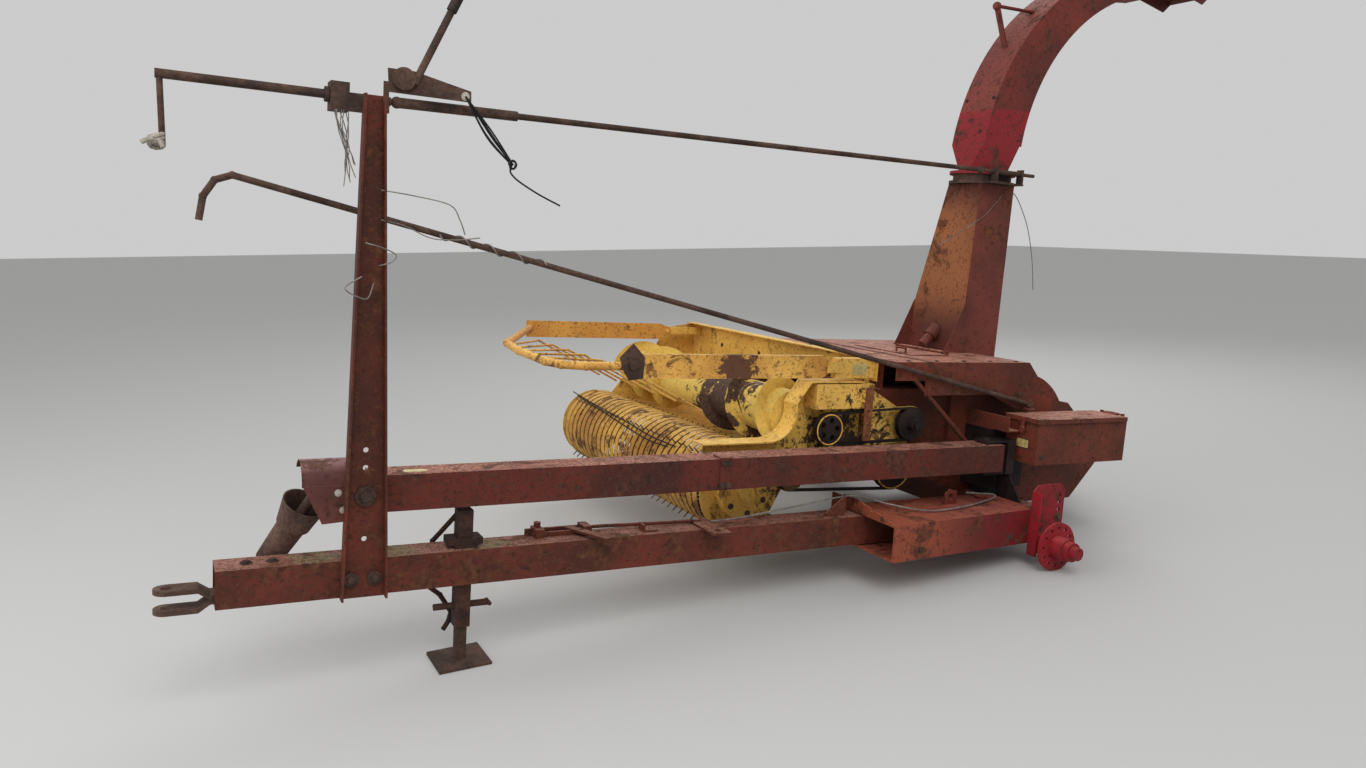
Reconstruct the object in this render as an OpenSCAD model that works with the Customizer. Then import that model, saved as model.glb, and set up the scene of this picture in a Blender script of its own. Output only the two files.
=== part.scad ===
// Pull-type forage harvester with a windrow pickup, parked on its jack.
// Lengths in millimetres. Every module is drawn in the frame's own axes: x runs forward to the
// hitch, y to the left, z up, from the centre of the left hub's flange. stand() then tips the
// whole machine onto the ground, where it rests on its jack, its left hub and its right tyre.

/* [Stance] */
// Nose-up angle of the parked machine, in degrees
stand_pitch = 4; // [0:0.5:8]
// Radius of the bare left hub's flange, which rests on the ground
hub_flange_r = 112; // [90:1:130]
// Radius of the right tyre
wheel_r = 332; // [300:1:380]
// Width of the right tyre
tyre_w = 190; // [150:5:220]
// Radius of the right wheel's rim seat
rim_r = 190; // [170:5:210]
// Distance between the two hub flanges
track = 2200; // [2000:10:2400]

/* [Tongue] */
// Outside width and height of the tongue's square tube
tongue_w = 127; // [100:1:150]
// Wall of the tongue and of the driveline beam
tongue_wall = 8; // [4:1:12]
// Distance of the tongue's middle to the right of the left hub
tongue_y = 348; // [300:1:400]
// Height of the tongue's underside
tongue_z = 5; // [0:1:30]
// Front end of the tongue
tongue_front = 3460; // [3200:10:3600]
// Place of the tongue's swing pivot
pivot_x = 150; // [120:5:200]
// Radius of the swing pivot pin
pivot_r = 25; // [18:1:32]
// Running clearance round a pin
pin_gap = 0.5; // [0.2:0.1:1]
// Underside of the driveline beam
beam_z = 290; // [260:5:340]
// Front end of the driveline beam
beam_front = 2975; // [2900:5:3000]

/* [Hitch] */
// Middle of the drawbar pin hole
hitch_x = 3597; // [3560:1:3640]
// Radius of the drawbar pin hole
hitch_hole_r = 16; // [12:1:20]
// Thickness of one clevis ear
ear_t = 15; // [10:1:20]
// Half width of a clevis ear
ear_half = 38; // [30:1:45]
// Height of the lower ear's underside at the pin
ear_low_z = -8; // [-20:1:0]
// Open height between the two ears
ear_gap = 50; // [35:1:60]

/* [Post] */
// Middle of the post along the tongue
post_x = 3008; // [2990:1:3030]
// Width of the post at the foot
post_foot_w = 150; // [120:1:180]
// Width of the post at the top
post_top_w = 66; // [50:1:90]
// Height of the top of the post
post_top_z = 1650; // [1500:10:1750]
// Depth of the post's channel
post_depth = 42; // [30:1:60]
// Thickness of the post's plate
post_t = 7; // [4:1:10]

/* [Jack] */
// Place of the jack along the tongue
jack_x = 2650; // [2550:10:2750]
// Width of the jack's square leg
jack_leg_w = 38; // [30:1:60]
// Width of the jack's outer sleeve
jack_sleeve_w = 54; // [46:1:80]
// Width of the jack's foot plate
foot_w = 190; // [150:5:260]
// Thickness of the foot plate
foot_t = 10; // [6:1:16]

/* [Frame] */
// Outside width of the axle beam's square tube
axle_w = 127; // [100:1:150]
// Middle of the axle beam, behind the hubs
axle_x = -40; // [-60:1:-20]
// Thickness of frame plate
plate_t = 10; // [6:1:14]
// Mouth of the tongue pocket
pocket_front = 905; // [800:5:1000]
// Near wall of the pocket at the mouth, to the right of the left hub
pocket_mouth_y = 60; // [40:1:120]
// Clearance between the tongue and the pocket
pocket_gap = 6; // [5:0.5:12]

/* [Housing] */
// Right side of the cutter housing
house_far_y = 1400; // [1350:10:1500]
// Left side of the cutter housing
house_near_y = 575; // [560:5:600]
// Radius of the cutter drum housing
drum_r = 330; // [300:5:360]
// Middle of the cutter drum, behind the hubs
drum_x = -300; // [-340:5:-260]
// Height of the middle of the cutter drum
drum_z = 385; // [360:5:420]
// Top of the hood
hood_z = 788; // [770:1:800]
// Left face of the hood
hood_near_y = 445; // [430:5:470]
// Thickness of sheet metal
sheet_t = 4; // [3:0.5:6]

/* [Chute] */
// Top of the chute
chute_top_z = 1665; // [1600:5:1750]
// Width of the spout and of the chute's top
spout_w = 235; // [200:5:260]
// Middle of the spout's turntable, behind the hubs
spout_x = -252; // [-270:1:-230]
// Distance of the spout's middle to the right of the left hub
spout_y = 967; // [940:1:990]
// Radius of the turntable
ring_r = 168; // [160:1:180]
// Thickness of one turntable ring
ring_t = 16; // [8:1:20]

/* [Spout] */
// Radius of the spout's outer wall
spout_out_r = 1210; // [1150:5:1260]
// Radius of the spout's inner wall
spout_in_r = 1038; // [990:2:1070]
// Centre of the outer wall's arc, behind the hubs
spout_out_x = -1330; // [-1360:5:-1300]
// Centre of the inner wall's arc, behind the hubs
spout_in_x = -1422; // [-1450:2:-1400]
// Height of the centre of the outer wall's arc
spout_out_z = 1715; // [1680:5:1750]
// Height of the centre of the inner wall's arc
spout_in_z = 1760; // [1730:5:1790]
// Length of the deflector flap
flap_len = 380; // [300:10:450]

/* [Header] */
// Lift pivot of the header along the frame
lift_x = 480; // [460:5:500]
// Height of the lift pivot
lift_z = 489; // [470:1:510]
// Left end of the header
header_near_y = 500; // [480:5:520]
// Right end of the header
header_far_y = 2250; // [2150:10:2300]
// Face of the header's back wall
back_x = 712; // [700:1:730]
// Top of the header's back wall
back_top_z = 800; // [770:5:830]
// Middle of the pickup reel along the frame
reel_x = 1345; // [1320:5:1370]
// Height of the middle of the pickup reel
reel_z = 200; // [190:5:220]
// Radius of the stripper bands
band_r = 200; // [190:2:205]
// Width of one stripper band
band_w = 40; // [34:1:42]
// Distance from one stripper band to the next
band_pitch = 56; // [54:0.5:58]
// Number of stripper bands
band_count = 28; // [24:1:28]
// Length of a tine past the bands
tine_out = 32; // [20:1:36]
// Radius of a tine
tine_r = 3; // [2:0.5:4]
// Middle of the cross auger along the frame
auger_x = 1085; // [1075:1:1095]
// Height of the middle of the cross auger
auger_z = 522; // [515:1:530]
// Radius of the auger's tube
auger_tube_r = 112; // [100:1:120]
// Radius of the auger's flights
auger_flight_r = 165; // [150:1:168]

/* [Hidden] */
$fn = 64;

// Paint colours
red = "#7d3a2e";
bright_red = "#98202a";
yellow = "#d9b04a";
steel = "#6a5f58";
dark = "#2b2523";

// Gap between two surfaces of different pieces that lie on each other
seat = 0.3;
// Open space kept round a piece that moves
run_gap = 6;

// Heights and sides of the tongue
tongue_half = tongue_w / 2;
tongue_top = tongue_z + tongue_w;
tongue_mid_z = tongue_z + tongue_half;
beam_top = beam_z + tongue_w;
beam_mid_z = beam_z + tongue_half;
face_y = -tongue_y + tongue_half;

// The right wheel's hub is bolted high on its bracket, so that the machine stands level
right_hub_z = (wheel_r - hub_flange_r) / cos(stand_pitch);

// Deflector flap at the end of the spout
flap_hinge_r = 8;
flap_hinge_x = spout_out_x - 20;
flap_hinge_z = spout_out_z + spout_out_r + 14;
flap_drop = 85;
flap_tip_x = flap_hinge_x - flap_len;
flap_tip_z = flap_hinge_z - flap_drop;

// The extreme points of the machine on its stance, for an origin midway between them
hub_cap_y = 122;
tip_reach = (hitch_x + ear_half) * cos(stand_pitch) - ear_low_z * sin(stand_pitch);
tail_reach = flap_tip_x * cos(stand_pitch) - flap_tip_z * sin(stand_pitch);
mid_x = (tip_reach + tail_reach) / 2;
mid_y = (hub_cap_y - track - tyre_w / 2) / 2;

// Tips the machine onto its stance and moves the origin to the middle of its footprint
module stand() {
    translate([-mid_x, -mid_y, hub_flange_r]) rotate([0, -stand_pitch, 0]) children();
}

// A block given by its two corners
module block(low, high) {
    translate(low) cube(high - low);
}

// A plate with an outline in x and z, from y = low to y = high
module plate_xz(low, high) {
    translate([0, high, 0]) rotate([90, 0, 0]) linear_extrude(high - low) children();
}

// A plate with an outline in y and z, from x = low to x = high
module plate_yz(low, high) {
    translate([low, 0, 0]) rotate([90, 0, 90]) linear_extrude(high - low) children();
}

// A round bar along y, from y = low to y = high
module rod_y(x, z, low, high, r) {
    translate([x, high, z]) rotate([90, 0, 0]) cylinder(h = high - low, r = r);
}

// A round bar or a cone from one point to another
module cone(from, to, r_from, r_to) {
    run = to - from;
    translate(from) rotate([0, acos(run[2] / norm(run)), atan2(run[1], run[0])])
        cylinder(h = norm(run), r1 = r_from, r2 = r_to);
}

module bar(from, to, r) {
    cone(from, to, r, r);
}

// A ball at a bend, turned so that its seam lies away from both bars
module knuckle(a, p, b, r) {
    u = (a - p) / norm(a - p);
    v = (b - p) / norm(b - p);
    axis = cross(u, v) / norm(cross(u, v));
    out = -(u + v) / norm(u + v);
    side = cross(axis, out);
    multmatrix([[out[0], side[0], axis[0], p[0]], [out[1], side[1], axis[1], p[1]],
        [out[2], side[2], axis[2], p[2]], [0, 0, 0, 1]]) sphere(r = r);
}

// A round bar through several points, with a knuckle at each bend
module bent_bar(points, r) {
    for (i = [1 : len(points) - 1]) bar(points[i - 1], points[i], r);
    for (i = [1 : 1 : len(points) - 2])
        knuckle(points[i - 1], points[i], points[i + 1], r * 1.12);
}

// Outline of a belt's run round two pulleys: their circles and the strip between the tangents
module belt_outline(a, ra, b, rb) {
    run = b - a;
    lead = atan2(run[1], run[0]);
    lean = acos((ra - rb) / norm(run));
    up = [cos(lead + lean), sin(lead + lean)];
    down = [cos(lead - lean), sin(lead - lean)];
    translate(a) circle(r = ra);
    translate(b) circle(r = rb);
    polygon([a + ra * up, b + rb * up, b + rb * down, a + ra * down]);
}

// Points along an arc in steps of about 12 degrees
function arc(c, r, from, to) = let (n = ceil(abs(to - from) / 12))
    [for (i = [0 : n]) c + r * [cos(from + (to - from) * i / n), sin(from + (to - from) * i / n)]];

// A bolt head on a face that looks to the left
module head_y(x, y, z, r = 12, h = 8) {
    rod_y(x, z, y, y + h, r);
}

// A square tube along x, from x = low to x = high
module tube_x(low, high, y, z, w, wall) {
    difference() {
        block([low, y - w / 2, z], [high, y + w / 2, z + w]);
        block([low - 1, y - w / 2 + wall, z + wall], [high + 1, y + w / 2 - wall, z + w - wall]);
    }
}

// Hub brackets: a drilled plate with a front flange, and the spindle on it
bracket_front = 60;
bracket_rear = -142;
bracket_low = -64;
bracket_high = 262;
bracket_flange = 42;
bracket_y = -110;
right_bracket_y = -track + 150;
corner_cut = 30;
spindle_r = 32;
barrel_r = 46;
hole_r = 9;
hole_rise = 34;

module bracket(y, side, holes_from) {
    low = side > 0 ? y - plate_t : y;
    out = side > 0 ? y : y - bracket_flange;
    color(bright_red) {
        difference() {
            plate_xz(low, low + plate_t) polygon([[bracket_rear, bracket_low],
                [bracket_front, bracket_low], [bracket_front, bracket_high - corner_cut],
                [bracket_front - corner_cut, bracket_high],
                [bracket_rear + corner_cut, bracket_high],
                [bracket_rear, bracket_high - corner_cut]]);
            for (x = [bracket_rear + 32, bracket_front - 32], i = [0 : 2])
                rod_y(x, holes_from + i * hole_rise, low - 1, low + plate_t + 1, hole_r);
        }
        block([bracket_front - plate_t, out, bracket_low],
            [bracket_front, out + bracket_flange, bracket_high - corner_cut]);
    }
}

module left_bracket() {
    stand() {
        bracket(bracket_y, 1, 140);
        color(bright_red) rod_y(0, 0, bracket_y, -52 - run_gap, barrel_r);
        color(steel) rod_y(0, 0, bracket_y, 60, spindle_r);
    }
}

module right_bracket() {
    stand() {
        bracket(right_bracket_y, -1, -30);
        color(bright_red) rod_y(0, right_hub_z, -track + 56, right_bracket_y, barrel_r);
        color(steel) rod_y(0, right_hub_z, -track - 60, right_bracket_y, spindle_r);
    }
}

axle_front = axle_x + axle_w / 2;
ram_pin_r = 12;
axle_rear = axle_x - axle_w / 2;
axle_top = tongue_z + axle_w;

module axle_beam() {
    low = right_bracket_y + plate_t;
    high = bracket_y - plate_t;
    stand() color(red) {
        difference() {
            block([axle_rear, low, tongue_z], [axle_front, high, axle_top]);
            block([axle_rear + tongue_wall, low - 1, tongue_z + tongue_wall],
                [axle_front - tongue_wall, high + 1, axle_top - tongue_wall]);
        }
        for (y = [rod_eye_y - 24, rod_eye_y + 14]) plate_xz(y, y + 10)
            polygon([[axle_front - 60, axle_top - 2], [axle_front, axle_top - 2],
                [ram_rear[0] + 20, ram_rear[2] + 16], [ram_rear[0] - 20, ram_rear[2] + 16]]);
        rod_y(ram_rear[0], ram_rear[2], rod_eye_y - 20, rod_eye_y + 20, ram_pin_r);
    }
}

// The pocket in which the tongue swings about its pivot pin
pocket_low = tongue_z - pocket_gap;
pocket_high = tongue_top + pocket_gap;
pocket_far_y = -tongue_y - tongue_half - pocket_gap;
pocket_near_y = bracket_y - plate_t;
pin_head = 14;
pocket_roof = pocket_high + plate_t;
lip_rise = 46;

module pocket_outline(inset, reach) {
    polygon([[axle_front + inset, pocket_near_y - inset], [bracket_front, pocket_near_y - inset],
        [pocket_front + reach, -pocket_mouth_y - inset],
        [pocket_front + reach, pocket_far_y - plate_t + inset],
        [axle_front + inset, pocket_far_y - plate_t + inset]]);
}

module tongue_pocket() {
    stand() {
        color(bright_red) difference() {
            translate([0, 0, pocket_low - plate_t])
                linear_extrude(pocket_high - pocket_low + 2 * plate_t) pocket_outline(0, 0);
            translate([0, 0, pocket_low])
                linear_extrude(pocket_high - pocket_low) pocket_outline(plate_t, 5);
        }
        color(red) {
            difference() {
                plate_yz(pocket_front - plate_t, pocket_front)
                    polygon([[pocket_far_y - plate_t, pocket_roof], [-78, pocket_roof],
                        [-pocket_mouth_y - 80, pocket_roof + 16], [-330, pocket_roof + lip_rise],
                        [pocket_far_y - plate_t, pocket_roof + lip_rise]]);
                for (y = [-225, -330])
                    bar([pocket_front - 20, y, pocket_roof + 26],
                        [pocket_front + 10, y, pocket_roof + 26], 9);
            }
            difference() {
                plate_xz(-306, -298) polygon([[350, pocket_roof], [420, pocket_roof],
                    [420, pocket_roof + 50], [395, pocket_roof + 72], [350, pocket_roof + 60]]);
                rod_y(388, pocket_roof + 36, -310, -290, 14);
            }
        }
        color(steel) translate([pivot_x, -tongue_y, pocket_low - plate_t - pin_head])
            cylinder(h = pocket_high - pocket_low + 2 * (plate_t + pin_head), r = pivot_r);
    }
}

// Gearbox behind the driveline beam, with the two lugs that hold the beam's swing pin
gear_near_y = -400;
neck_rear = 5;
neck_front = 55;
neck_half = 48;
lug_front = 190;
lug_half = 40;
lug_t = 12;
beam_pin_r = 20;

module gearbox() {
    low = beam_z - run_gap - lug_t;
    high = beam_top + run_gap + lug_t;
    stand() color(dark) {
        block([-160, -house_near_y, 180], [70, gear_near_y, 470]);
        block([-90, -house_near_y + 15, axle_top], [10, gear_near_y - 40, 180]);
        block([neck_rear, gear_near_y, low], [neck_front, -tongue_y + neck_half, high]);
        for (z = [low, high - lug_t])
            block([neck_front, -tongue_y - lug_half, z], [lug_front, -tongue_y + lug_half,
                z + lug_t]);
        translate([pivot_x, -tongue_y, low - 8]) cylinder(h = high - low + 16, r = beam_pin_r);
        plate_yz(neck_rear, neck_rear + plate_t)
            polygon([[-220, axle_top], [gear_near_y + 5, axle_top], [gear_near_y + 5, low],
                [-320, low]]);
    }
}

// Cutter housing: the drum's round casing between flat sides
house_top = 700;
house_rear_low = 60;
feed_x = 180;

module house_outline() {
    difference() {
        union() {
            intersection() {
                translate([drum_x, drum_z]) circle(r = drum_r);
                translate([drum_x - drum_r, house_rear_low]) square([2 * drum_r, 2 * drum_r]);
            }
            polygon([[drum_x, house_rear_low], [-110, 75], [30, axle_top], [feed_x, 150],
                [feed_x, 640], [drum_x, house_top]]);
        }
        translate([axle_rear - run_gap, 0]) square([axle_w + 2 * run_gap, axle_top + seat]);
    }
}

module cutter_housing() {
    stand() color(red) plate_xz(-house_far_y, -house_near_y) house_outline();
}

// Feed-roll housing, with the throat that reaches into the header
feed_near_y = -house_near_y - 30;
feed_far_y = -house_far_y + 30;
nose_x = 640;
lift_pin_r = 20;

module feed_housing() {
    stand() color(red) {
        difference() {
            plate_xz(feed_far_y, feed_near_y)
                polygon([[feed_x, 170], [520, 250], [nose_x, 330], [nose_x, 640], [feed_x, 640]]);
            block([240, feed_far_y + 30, 350], [nose_x + 60, feed_near_y - 30, 600]);
        }
        rod_y(lift_x, lift_z, feed_far_y - 60, feed_far_y, lift_pin_r);
    }
}

// Rear pan behind and below the cutter housing
module rear_pan() {
    stand() color(red) plate_xz(-house_far_y + 40, -house_near_y) difference() {
        polygon([[drum_x - 80, 42], [-730, 42], [-900, 225], [-900, 330], [-640, 560],
            [drum_x - 80, 600]]);
        translate([drum_x, drum_z]) circle(r = drum_r + seat);
    }
}

// Hood: folded sheet over the feed rolls and the drives on both sides
hood_front = 650;
hood_rear = -186;
hood_tail = -372;
hood_tail_top = 592;
hood_tail_low = 540;
hood_far_y = -house_far_y - 60;
shift_pin_r = 8;
cover_rear = 90;
cover_front = 350;
cover_near_y = -700;
cover_far_y = -1150;
cover_lip = 10;

module hood_side(low_front, low_rear) {
    polygon([[hood_front, hood_z], [hood_rear, hood_z], [hood_tail, hood_tail_top],
        [hood_tail, hood_tail_low], [-117, low_rear], [59, low_front], [470, low_front],
        [470, low_front + 70], [hood_front, low_front + 70]]);
}

module hood() {
    stand() color(red) {
        plate_xz(-hood_near_y - sheet_t, -hood_near_y) hood_side(632, 562);
        difference() {
            plate_xz(hood_far_y, -hood_near_y - sheet_t)
                polygon([[hood_front, hood_z], [hood_rear, hood_z], [hood_tail, hood_tail_top],
                    [hood_tail + sheet_t, hood_tail_top - 2], [hood_rear + 2, hood_z - sheet_t],
                    [hood_front, hood_z - sheet_t]]);
            block([hood_tail - 10, -house_far_y - run_gap, 400],
                [drum_x + 58, -house_near_y + run_gap, hood_z]);
            block([-400, chute_far_y - 8, 500], [chute_front + 8, chute_near_y + 8, 900]);
            block([cover_rear + cover_lip, cover_far_y + cover_lip, hood_z - 50],
                [cover_front - cover_lip, cover_near_y - cover_lip, hood_z + 50]);
        }
        plate_xz(hood_far_y - sheet_t, hood_far_y)
            polygon([[hood_front, hood_z], [hood_rear, hood_z], [hood_tail, hood_tail_top],
                [hood_tail, 330], [-200, 330], [300, 400], [hood_front - 80, 440],
                [hood_front - 80, 640], [hood_front, 660]]);
        for (p = [[-250, 420], [60, 560]]) rod_y(p[0], p[1], hood_far_y, -house_far_y, 14);
        block([590, feed_far_y, 640], [590 + sheet_t, feed_near_y, hood_z - sheet_t]);
        block([436, hood_far_y, hood_z - 1], [458, -hood_near_y, hood_z + 3]);
        block([436, -hood_near_y - 1, 632], [458, -hood_near_y + 3, hood_z + 3]);
        block([59, -hood_near_y - 22, 632], [436, -hood_near_y, 635]);
        bar([600, -hood_near_y - 14, hood_z - 20], [82, -hood_near_y - 14, 325], 12);
        block([70, -hood_near_y - 45, 290], [82, -hood_near_y + 5, 360]);
        block([shift_end[0] - 22, -hood_near_y - sheet_t, shift_end[2] - 30],
            [shift_end[0] + 22, shift_end[1] + 22, shift_end[2] - 22]);
        translate(shift_end - [0, 0, 26]) cylinder(h = 46, r = shift_pin_r);
        for (y = [cover_far_y + 30, cover_near_y - 42])
            block([cover_rear - 8, y, hood_z], [cover_rear + 8, y + 12, hood_z + 18]);
        rod_y(cover_rear, hood_z + 10, cover_far_y + 30, cover_near_y - 30, 4);
    }
}

// Access cover over the feed rolls, on a pin at its rear edge, with a wire handle
module access_cover() {
    handle_x = cover_front - 40;
    handle_y = cover_near_y - 90;
    stand() color(red) {
        block([cover_rear, cover_far_y + 60, hood_z + seat],
            [cover_front, cover_near_y - 60, hood_z + seat + sheet_t]);
        block([cover_rear + 20, cover_far_y, hood_z + seat],
            [cover_front, cover_near_y, hood_z + seat + sheet_t]);
        difference() {
            rod_y(cover_rear, hood_z + 10, cover_far_y + 60, cover_near_y - 60, 8);
            rod_y(cover_rear, hood_z + 10, cover_far_y + 50, cover_near_y - 50, 4 + pin_gap);
        }
        bent_bar([[handle_x, handle_y, hood_z + seat], [handle_x, handle_y, hood_z + 26],
            [handle_x, handle_y - 70, hood_z + 26], [handle_x, handle_y - 70, hood_z + seat]], 5);
    }
}

// Sheave that drives the header, on a shaft along the header's lift axis
header_belt_y = -516;
lower_belt_y = -541;
belt_half = 15;
drive_r = 80;
groove = 10;

// A grooved sheave of two flanges, its middle at y
module sheave(x, z, y, r) {
    rod_y(x, z, y - belt_half, y + belt_half, r - groove);
    for (side = [-1, 1]) {
        low = side > 0 ? y + belt_half - 4 : y - belt_half;
        rod_y(x, z, low, low + 4, r);
    }
}

module drive_sheave() {
    stand() {
        color(dark) sheave(lift_x, lift_z, header_belt_y, drive_r);
        color(steel) rod_y(lift_x, lift_z, feed_near_y, -455, lift_pin_r);
        color(yellow) rod_y(lift_x, lift_z, header_belt_y + belt_half, -466, 32);
    }
}

// Tool box on the left, with its brackets and the shield arm in front of it
box_front = -20;
box_rear = -632;
box_low = 332;
box_high = 548;
box_near_y = -200;
box_far_y = -392;
box_t = 3;
lid_pin_z = box_high + 6;
lid_pin_x = box_rear - 8;

module tool_box() {
    stand() color(red) {
        difference() {
            block([box_rear, box_far_y, box_low], [box_front, box_near_y, box_high]);
            block([box_rear + box_t, box_far_y + box_t, box_low + box_t],
                [box_front - box_t, box_near_y - box_t, box_high + 1]);
        }
        block([box_front, -322, 402], [box_front + 2, -244, 448]);
        block([-130, gear_near_y, 400], [-60, box_far_y, 450]);
        block([box_rear + 30, -house_near_y, 380], [box_rear + 80, box_far_y, 390]);
        block([box_front, gear_near_y, 474], [66, -300, 480]);
        block([60, gear_near_y, 474], [66, -300, 545]);
        block([60, -house_near_y, 470], [66, gear_near_y, 545]);
        for (y = [box_near_y - 40, box_far_y + 28])
            block([lid_pin_x - 6, y, lid_pin_z - 12], [box_rear, y + 12, lid_pin_z + 6]);
        rod_y(lid_pin_x, lid_pin_z, box_far_y + 28, box_near_y - 28, 4);
    }
}

module tool_box_lid() {
    over = 12;
    stand() color(red) {
        block([box_rear + 12, box_far_y - 4, box_high + seat],
            [box_front + over, box_near_y + over, box_high + seat + box_t]);
        block([box_rear + 12, box_far_y + 60, box_high + seat],
            [box_rear + 15, box_near_y - 60, lid_pin_z + 2]);
        block([box_rear + 12, box_near_y + over - box_t, box_high - 18],
            [box_front + over, box_near_y + over, box_high + seat]);
        block([box_front + over - box_t, box_far_y - 4, box_high - 18],
            [box_front + over, box_near_y + over, box_high + seat]);
        block([box_front + over, -292, box_high - 62], [box_front + over + 3, -272, box_high - 4]);
        bar([box_front + over, -282, box_high - 58], [box_front + over + 8, -282, box_high - 58], 15);
        difference() {
            union() {
                rod_y(lid_pin_x, lid_pin_z, box_far_y + 60, box_near_y - 60, 7);
                block([lid_pin_x, box_far_y + 60, lid_pin_z - 2],
                    [box_rear + 15, box_near_y - 60, lid_pin_z + 2]);
            }
            rod_y(lid_pin_x, lid_pin_z, box_far_y + 50, box_near_y - 50, 4 + pin_gap);
        }
    }
}

// Chute: a duct up from the drum casing, tapered above the hood, with two gussets
chute_skirt_z = 600;
chute_front = -100;
chute_rear = -356;
chute_near_y = -850;
chute_far_y = -1300;

module chute_solid(inset) {
    half = spout_w / 2 - inset;
    intersection() {
        plate_xz(-1500, -700) polygon([[chute_rear + inset, chute_skirt_z],
            [chute_front - inset, chute_skirt_z], [chute_front - inset, hood_z],
            [spout_x + half, chute_top_z], [spout_x - half, chute_top_z],
            [chute_rear + inset, hood_z]]);
        plate_yz(-600, 200) polygon([[chute_far_y + inset, chute_skirt_z],
            [chute_near_y - inset, chute_skirt_z], [chute_near_y - inset, hood_z],
            [-spout_y + half, chute_top_z], [-spout_y - half, chute_top_z],
            [chute_far_y + inset, hood_z]]);
    }
}

module chute() {
    stub_y = -1040;
    stand() color(red) difference() {
        union() {
            difference() {
                chute_solid(0);
                chute_solid(sheet_t);
            }
            for (y = [chute_near_y, chute_far_y + 60])
                plate_xz(y - sheet_t, y) polygon([[chute_front - 5, hood_z + seat],
                    [5, hood_z + seat], [-110, 1040], [-120, 1040]]);
            bar([-108, stub_y, 905], [-62, stub_y, 855], 36);
            bar([-62, stub_y, 855], [-18, stub_y, 808], 27);
        }
        plate_xz(-1500, -700) house_outline();
    }
}

// Turntable: the fixed ring on the chute, and the plate that carries the worm
gear_z = chute_top_z + 50;
worm_y = -spout_y + ring_r + 16;
worm_z = gear_z + ring_t / 2;
worm_r = 13;
worm_front = -60;
worm_rear = -430;
yoke_r = 19;

module spout_turntable() {
    stand() color(steel) {
        translate([spout_x, -spout_y, chute_top_z]) difference() {
            union() {
                cylinder(h = ring_t, r = ring_r);
                cylinder(h = gear_z - seat - chute_top_z, r = ring_r - 20);
            }
            translate([0, 0, -1]) cylinder(h = 200, r = ring_r - 26);
        }
        block([-345, worm_y - 45, chute_top_z], [-130, worm_y + 20, chute_top_z + 8]);
        for (x = [-340, -165])
            block([x, worm_y - 18, chute_top_z + 8], [x + 12, worm_y + 20, worm_z + 22]);
        bar([-335, worm_y, worm_z], [-160, worm_y, worm_z], worm_r);
        bar([worm_rear, worm_y, worm_z], [worm_front - yoke_r - pin_gap, worm_y, worm_z],
            worm_r - 4);
    }
}

// Spout: a curved duct that turns on the ring
duct_low = gear_z + ring_t;

// A point at an angle on the spout's outer wall, or out from it
function spout_back(a, out) = [spout_out_x, spout_out_z] + (spout_out_r - 3 + out) * [cos(a), sin(a)];

module spout_profile(inset) {
    intersection() {
        difference() {
            translate([spout_out_x, spout_out_z]) circle(r = spout_out_r - inset);
            translate([spout_in_x, spout_in_z]) circle(r = spout_in_r + inset);
        }
        translate([spout_out_x, duct_low]) square([spout_out_r + 10, spout_out_r + 10]);
    }
}

// The duct's outside or, with an inset, its inside, its four corners cut away at the foot
foot_top = 1875;
foot_lean = 20;

module spout_solid(inset) {
    half = spout_w / 2 - inset;
    reach = spout_w / sqrt(2) + 6 - inset;
    difference() {
        plate_xz(-spout_y - half, -spout_y + half) spout_profile(inset);
        for (a = [45 : 90 : 315]) translate([spout_x, -spout_y, foot_top]) rotate([0, 0, a])
            translate([reach, 0, 0]) rotate([0, foot_lean, 0]) translate([0, -150, -400])
                cube([200, 300, 400]);
    }
}

module spout() {
    half = spout_w / 2;
    ear = 10;
    mouth_low = spout_in_z + spout_in_r - 4;
    mouth_high = spout_out_z + spout_out_r - sheet_t;
    stand() color(red) {
        difference() {
            spout_solid(0);
            spout_solid(sheet_t);
            plate_xz(-spout_y - half + sheet_t, -spout_y + half - sheet_t) {
                translate([spout_out_x - 5, mouth_low]) square([8, mouth_high - mouth_low]);
                translate([spout_x - half, duct_low - 1]) square([spout_w - 2 * sheet_t, 4]);
            }
        }
        translate([spout_x, -spout_y, gear_z]) difference() {
            cylinder(h = ring_t, r = ring_r);
            translate([0, 0, -1]) cylinder(h = ring_t + 2, r = half - 10);
        }
        plate_xz(-spout_y - 16, -spout_y + 16) for (a = [33, 46]) polygon([spout_back(a, 0),
            spout_back(a + 0.5, 0), spout_back(38.5, 186), spout_back(38, 186)]);
        translate([spout_back(38.2, 186)[0], -spout_y, spout_back(38.2, 186)[1]])
            sphere(r = 22);
        for (y = [-spout_y - half + 20, -spout_y + half - 20 - ear]) difference() {
            plate_xz(y, y + ear) polygon([[spout_out_x + 60, flap_hinge_z - 22],
                [flap_hinge_x - 14, flap_hinge_z - 16], [flap_hinge_x - 14, flap_hinge_z + 12],
                [flap_hinge_x + 14, flap_hinge_z + 12]]);
            rod_y(flap_hinge_x, flap_hinge_z, y - 1, y + ear + 1, flap_hinge_r + pin_gap);
        }
    }
}

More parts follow.
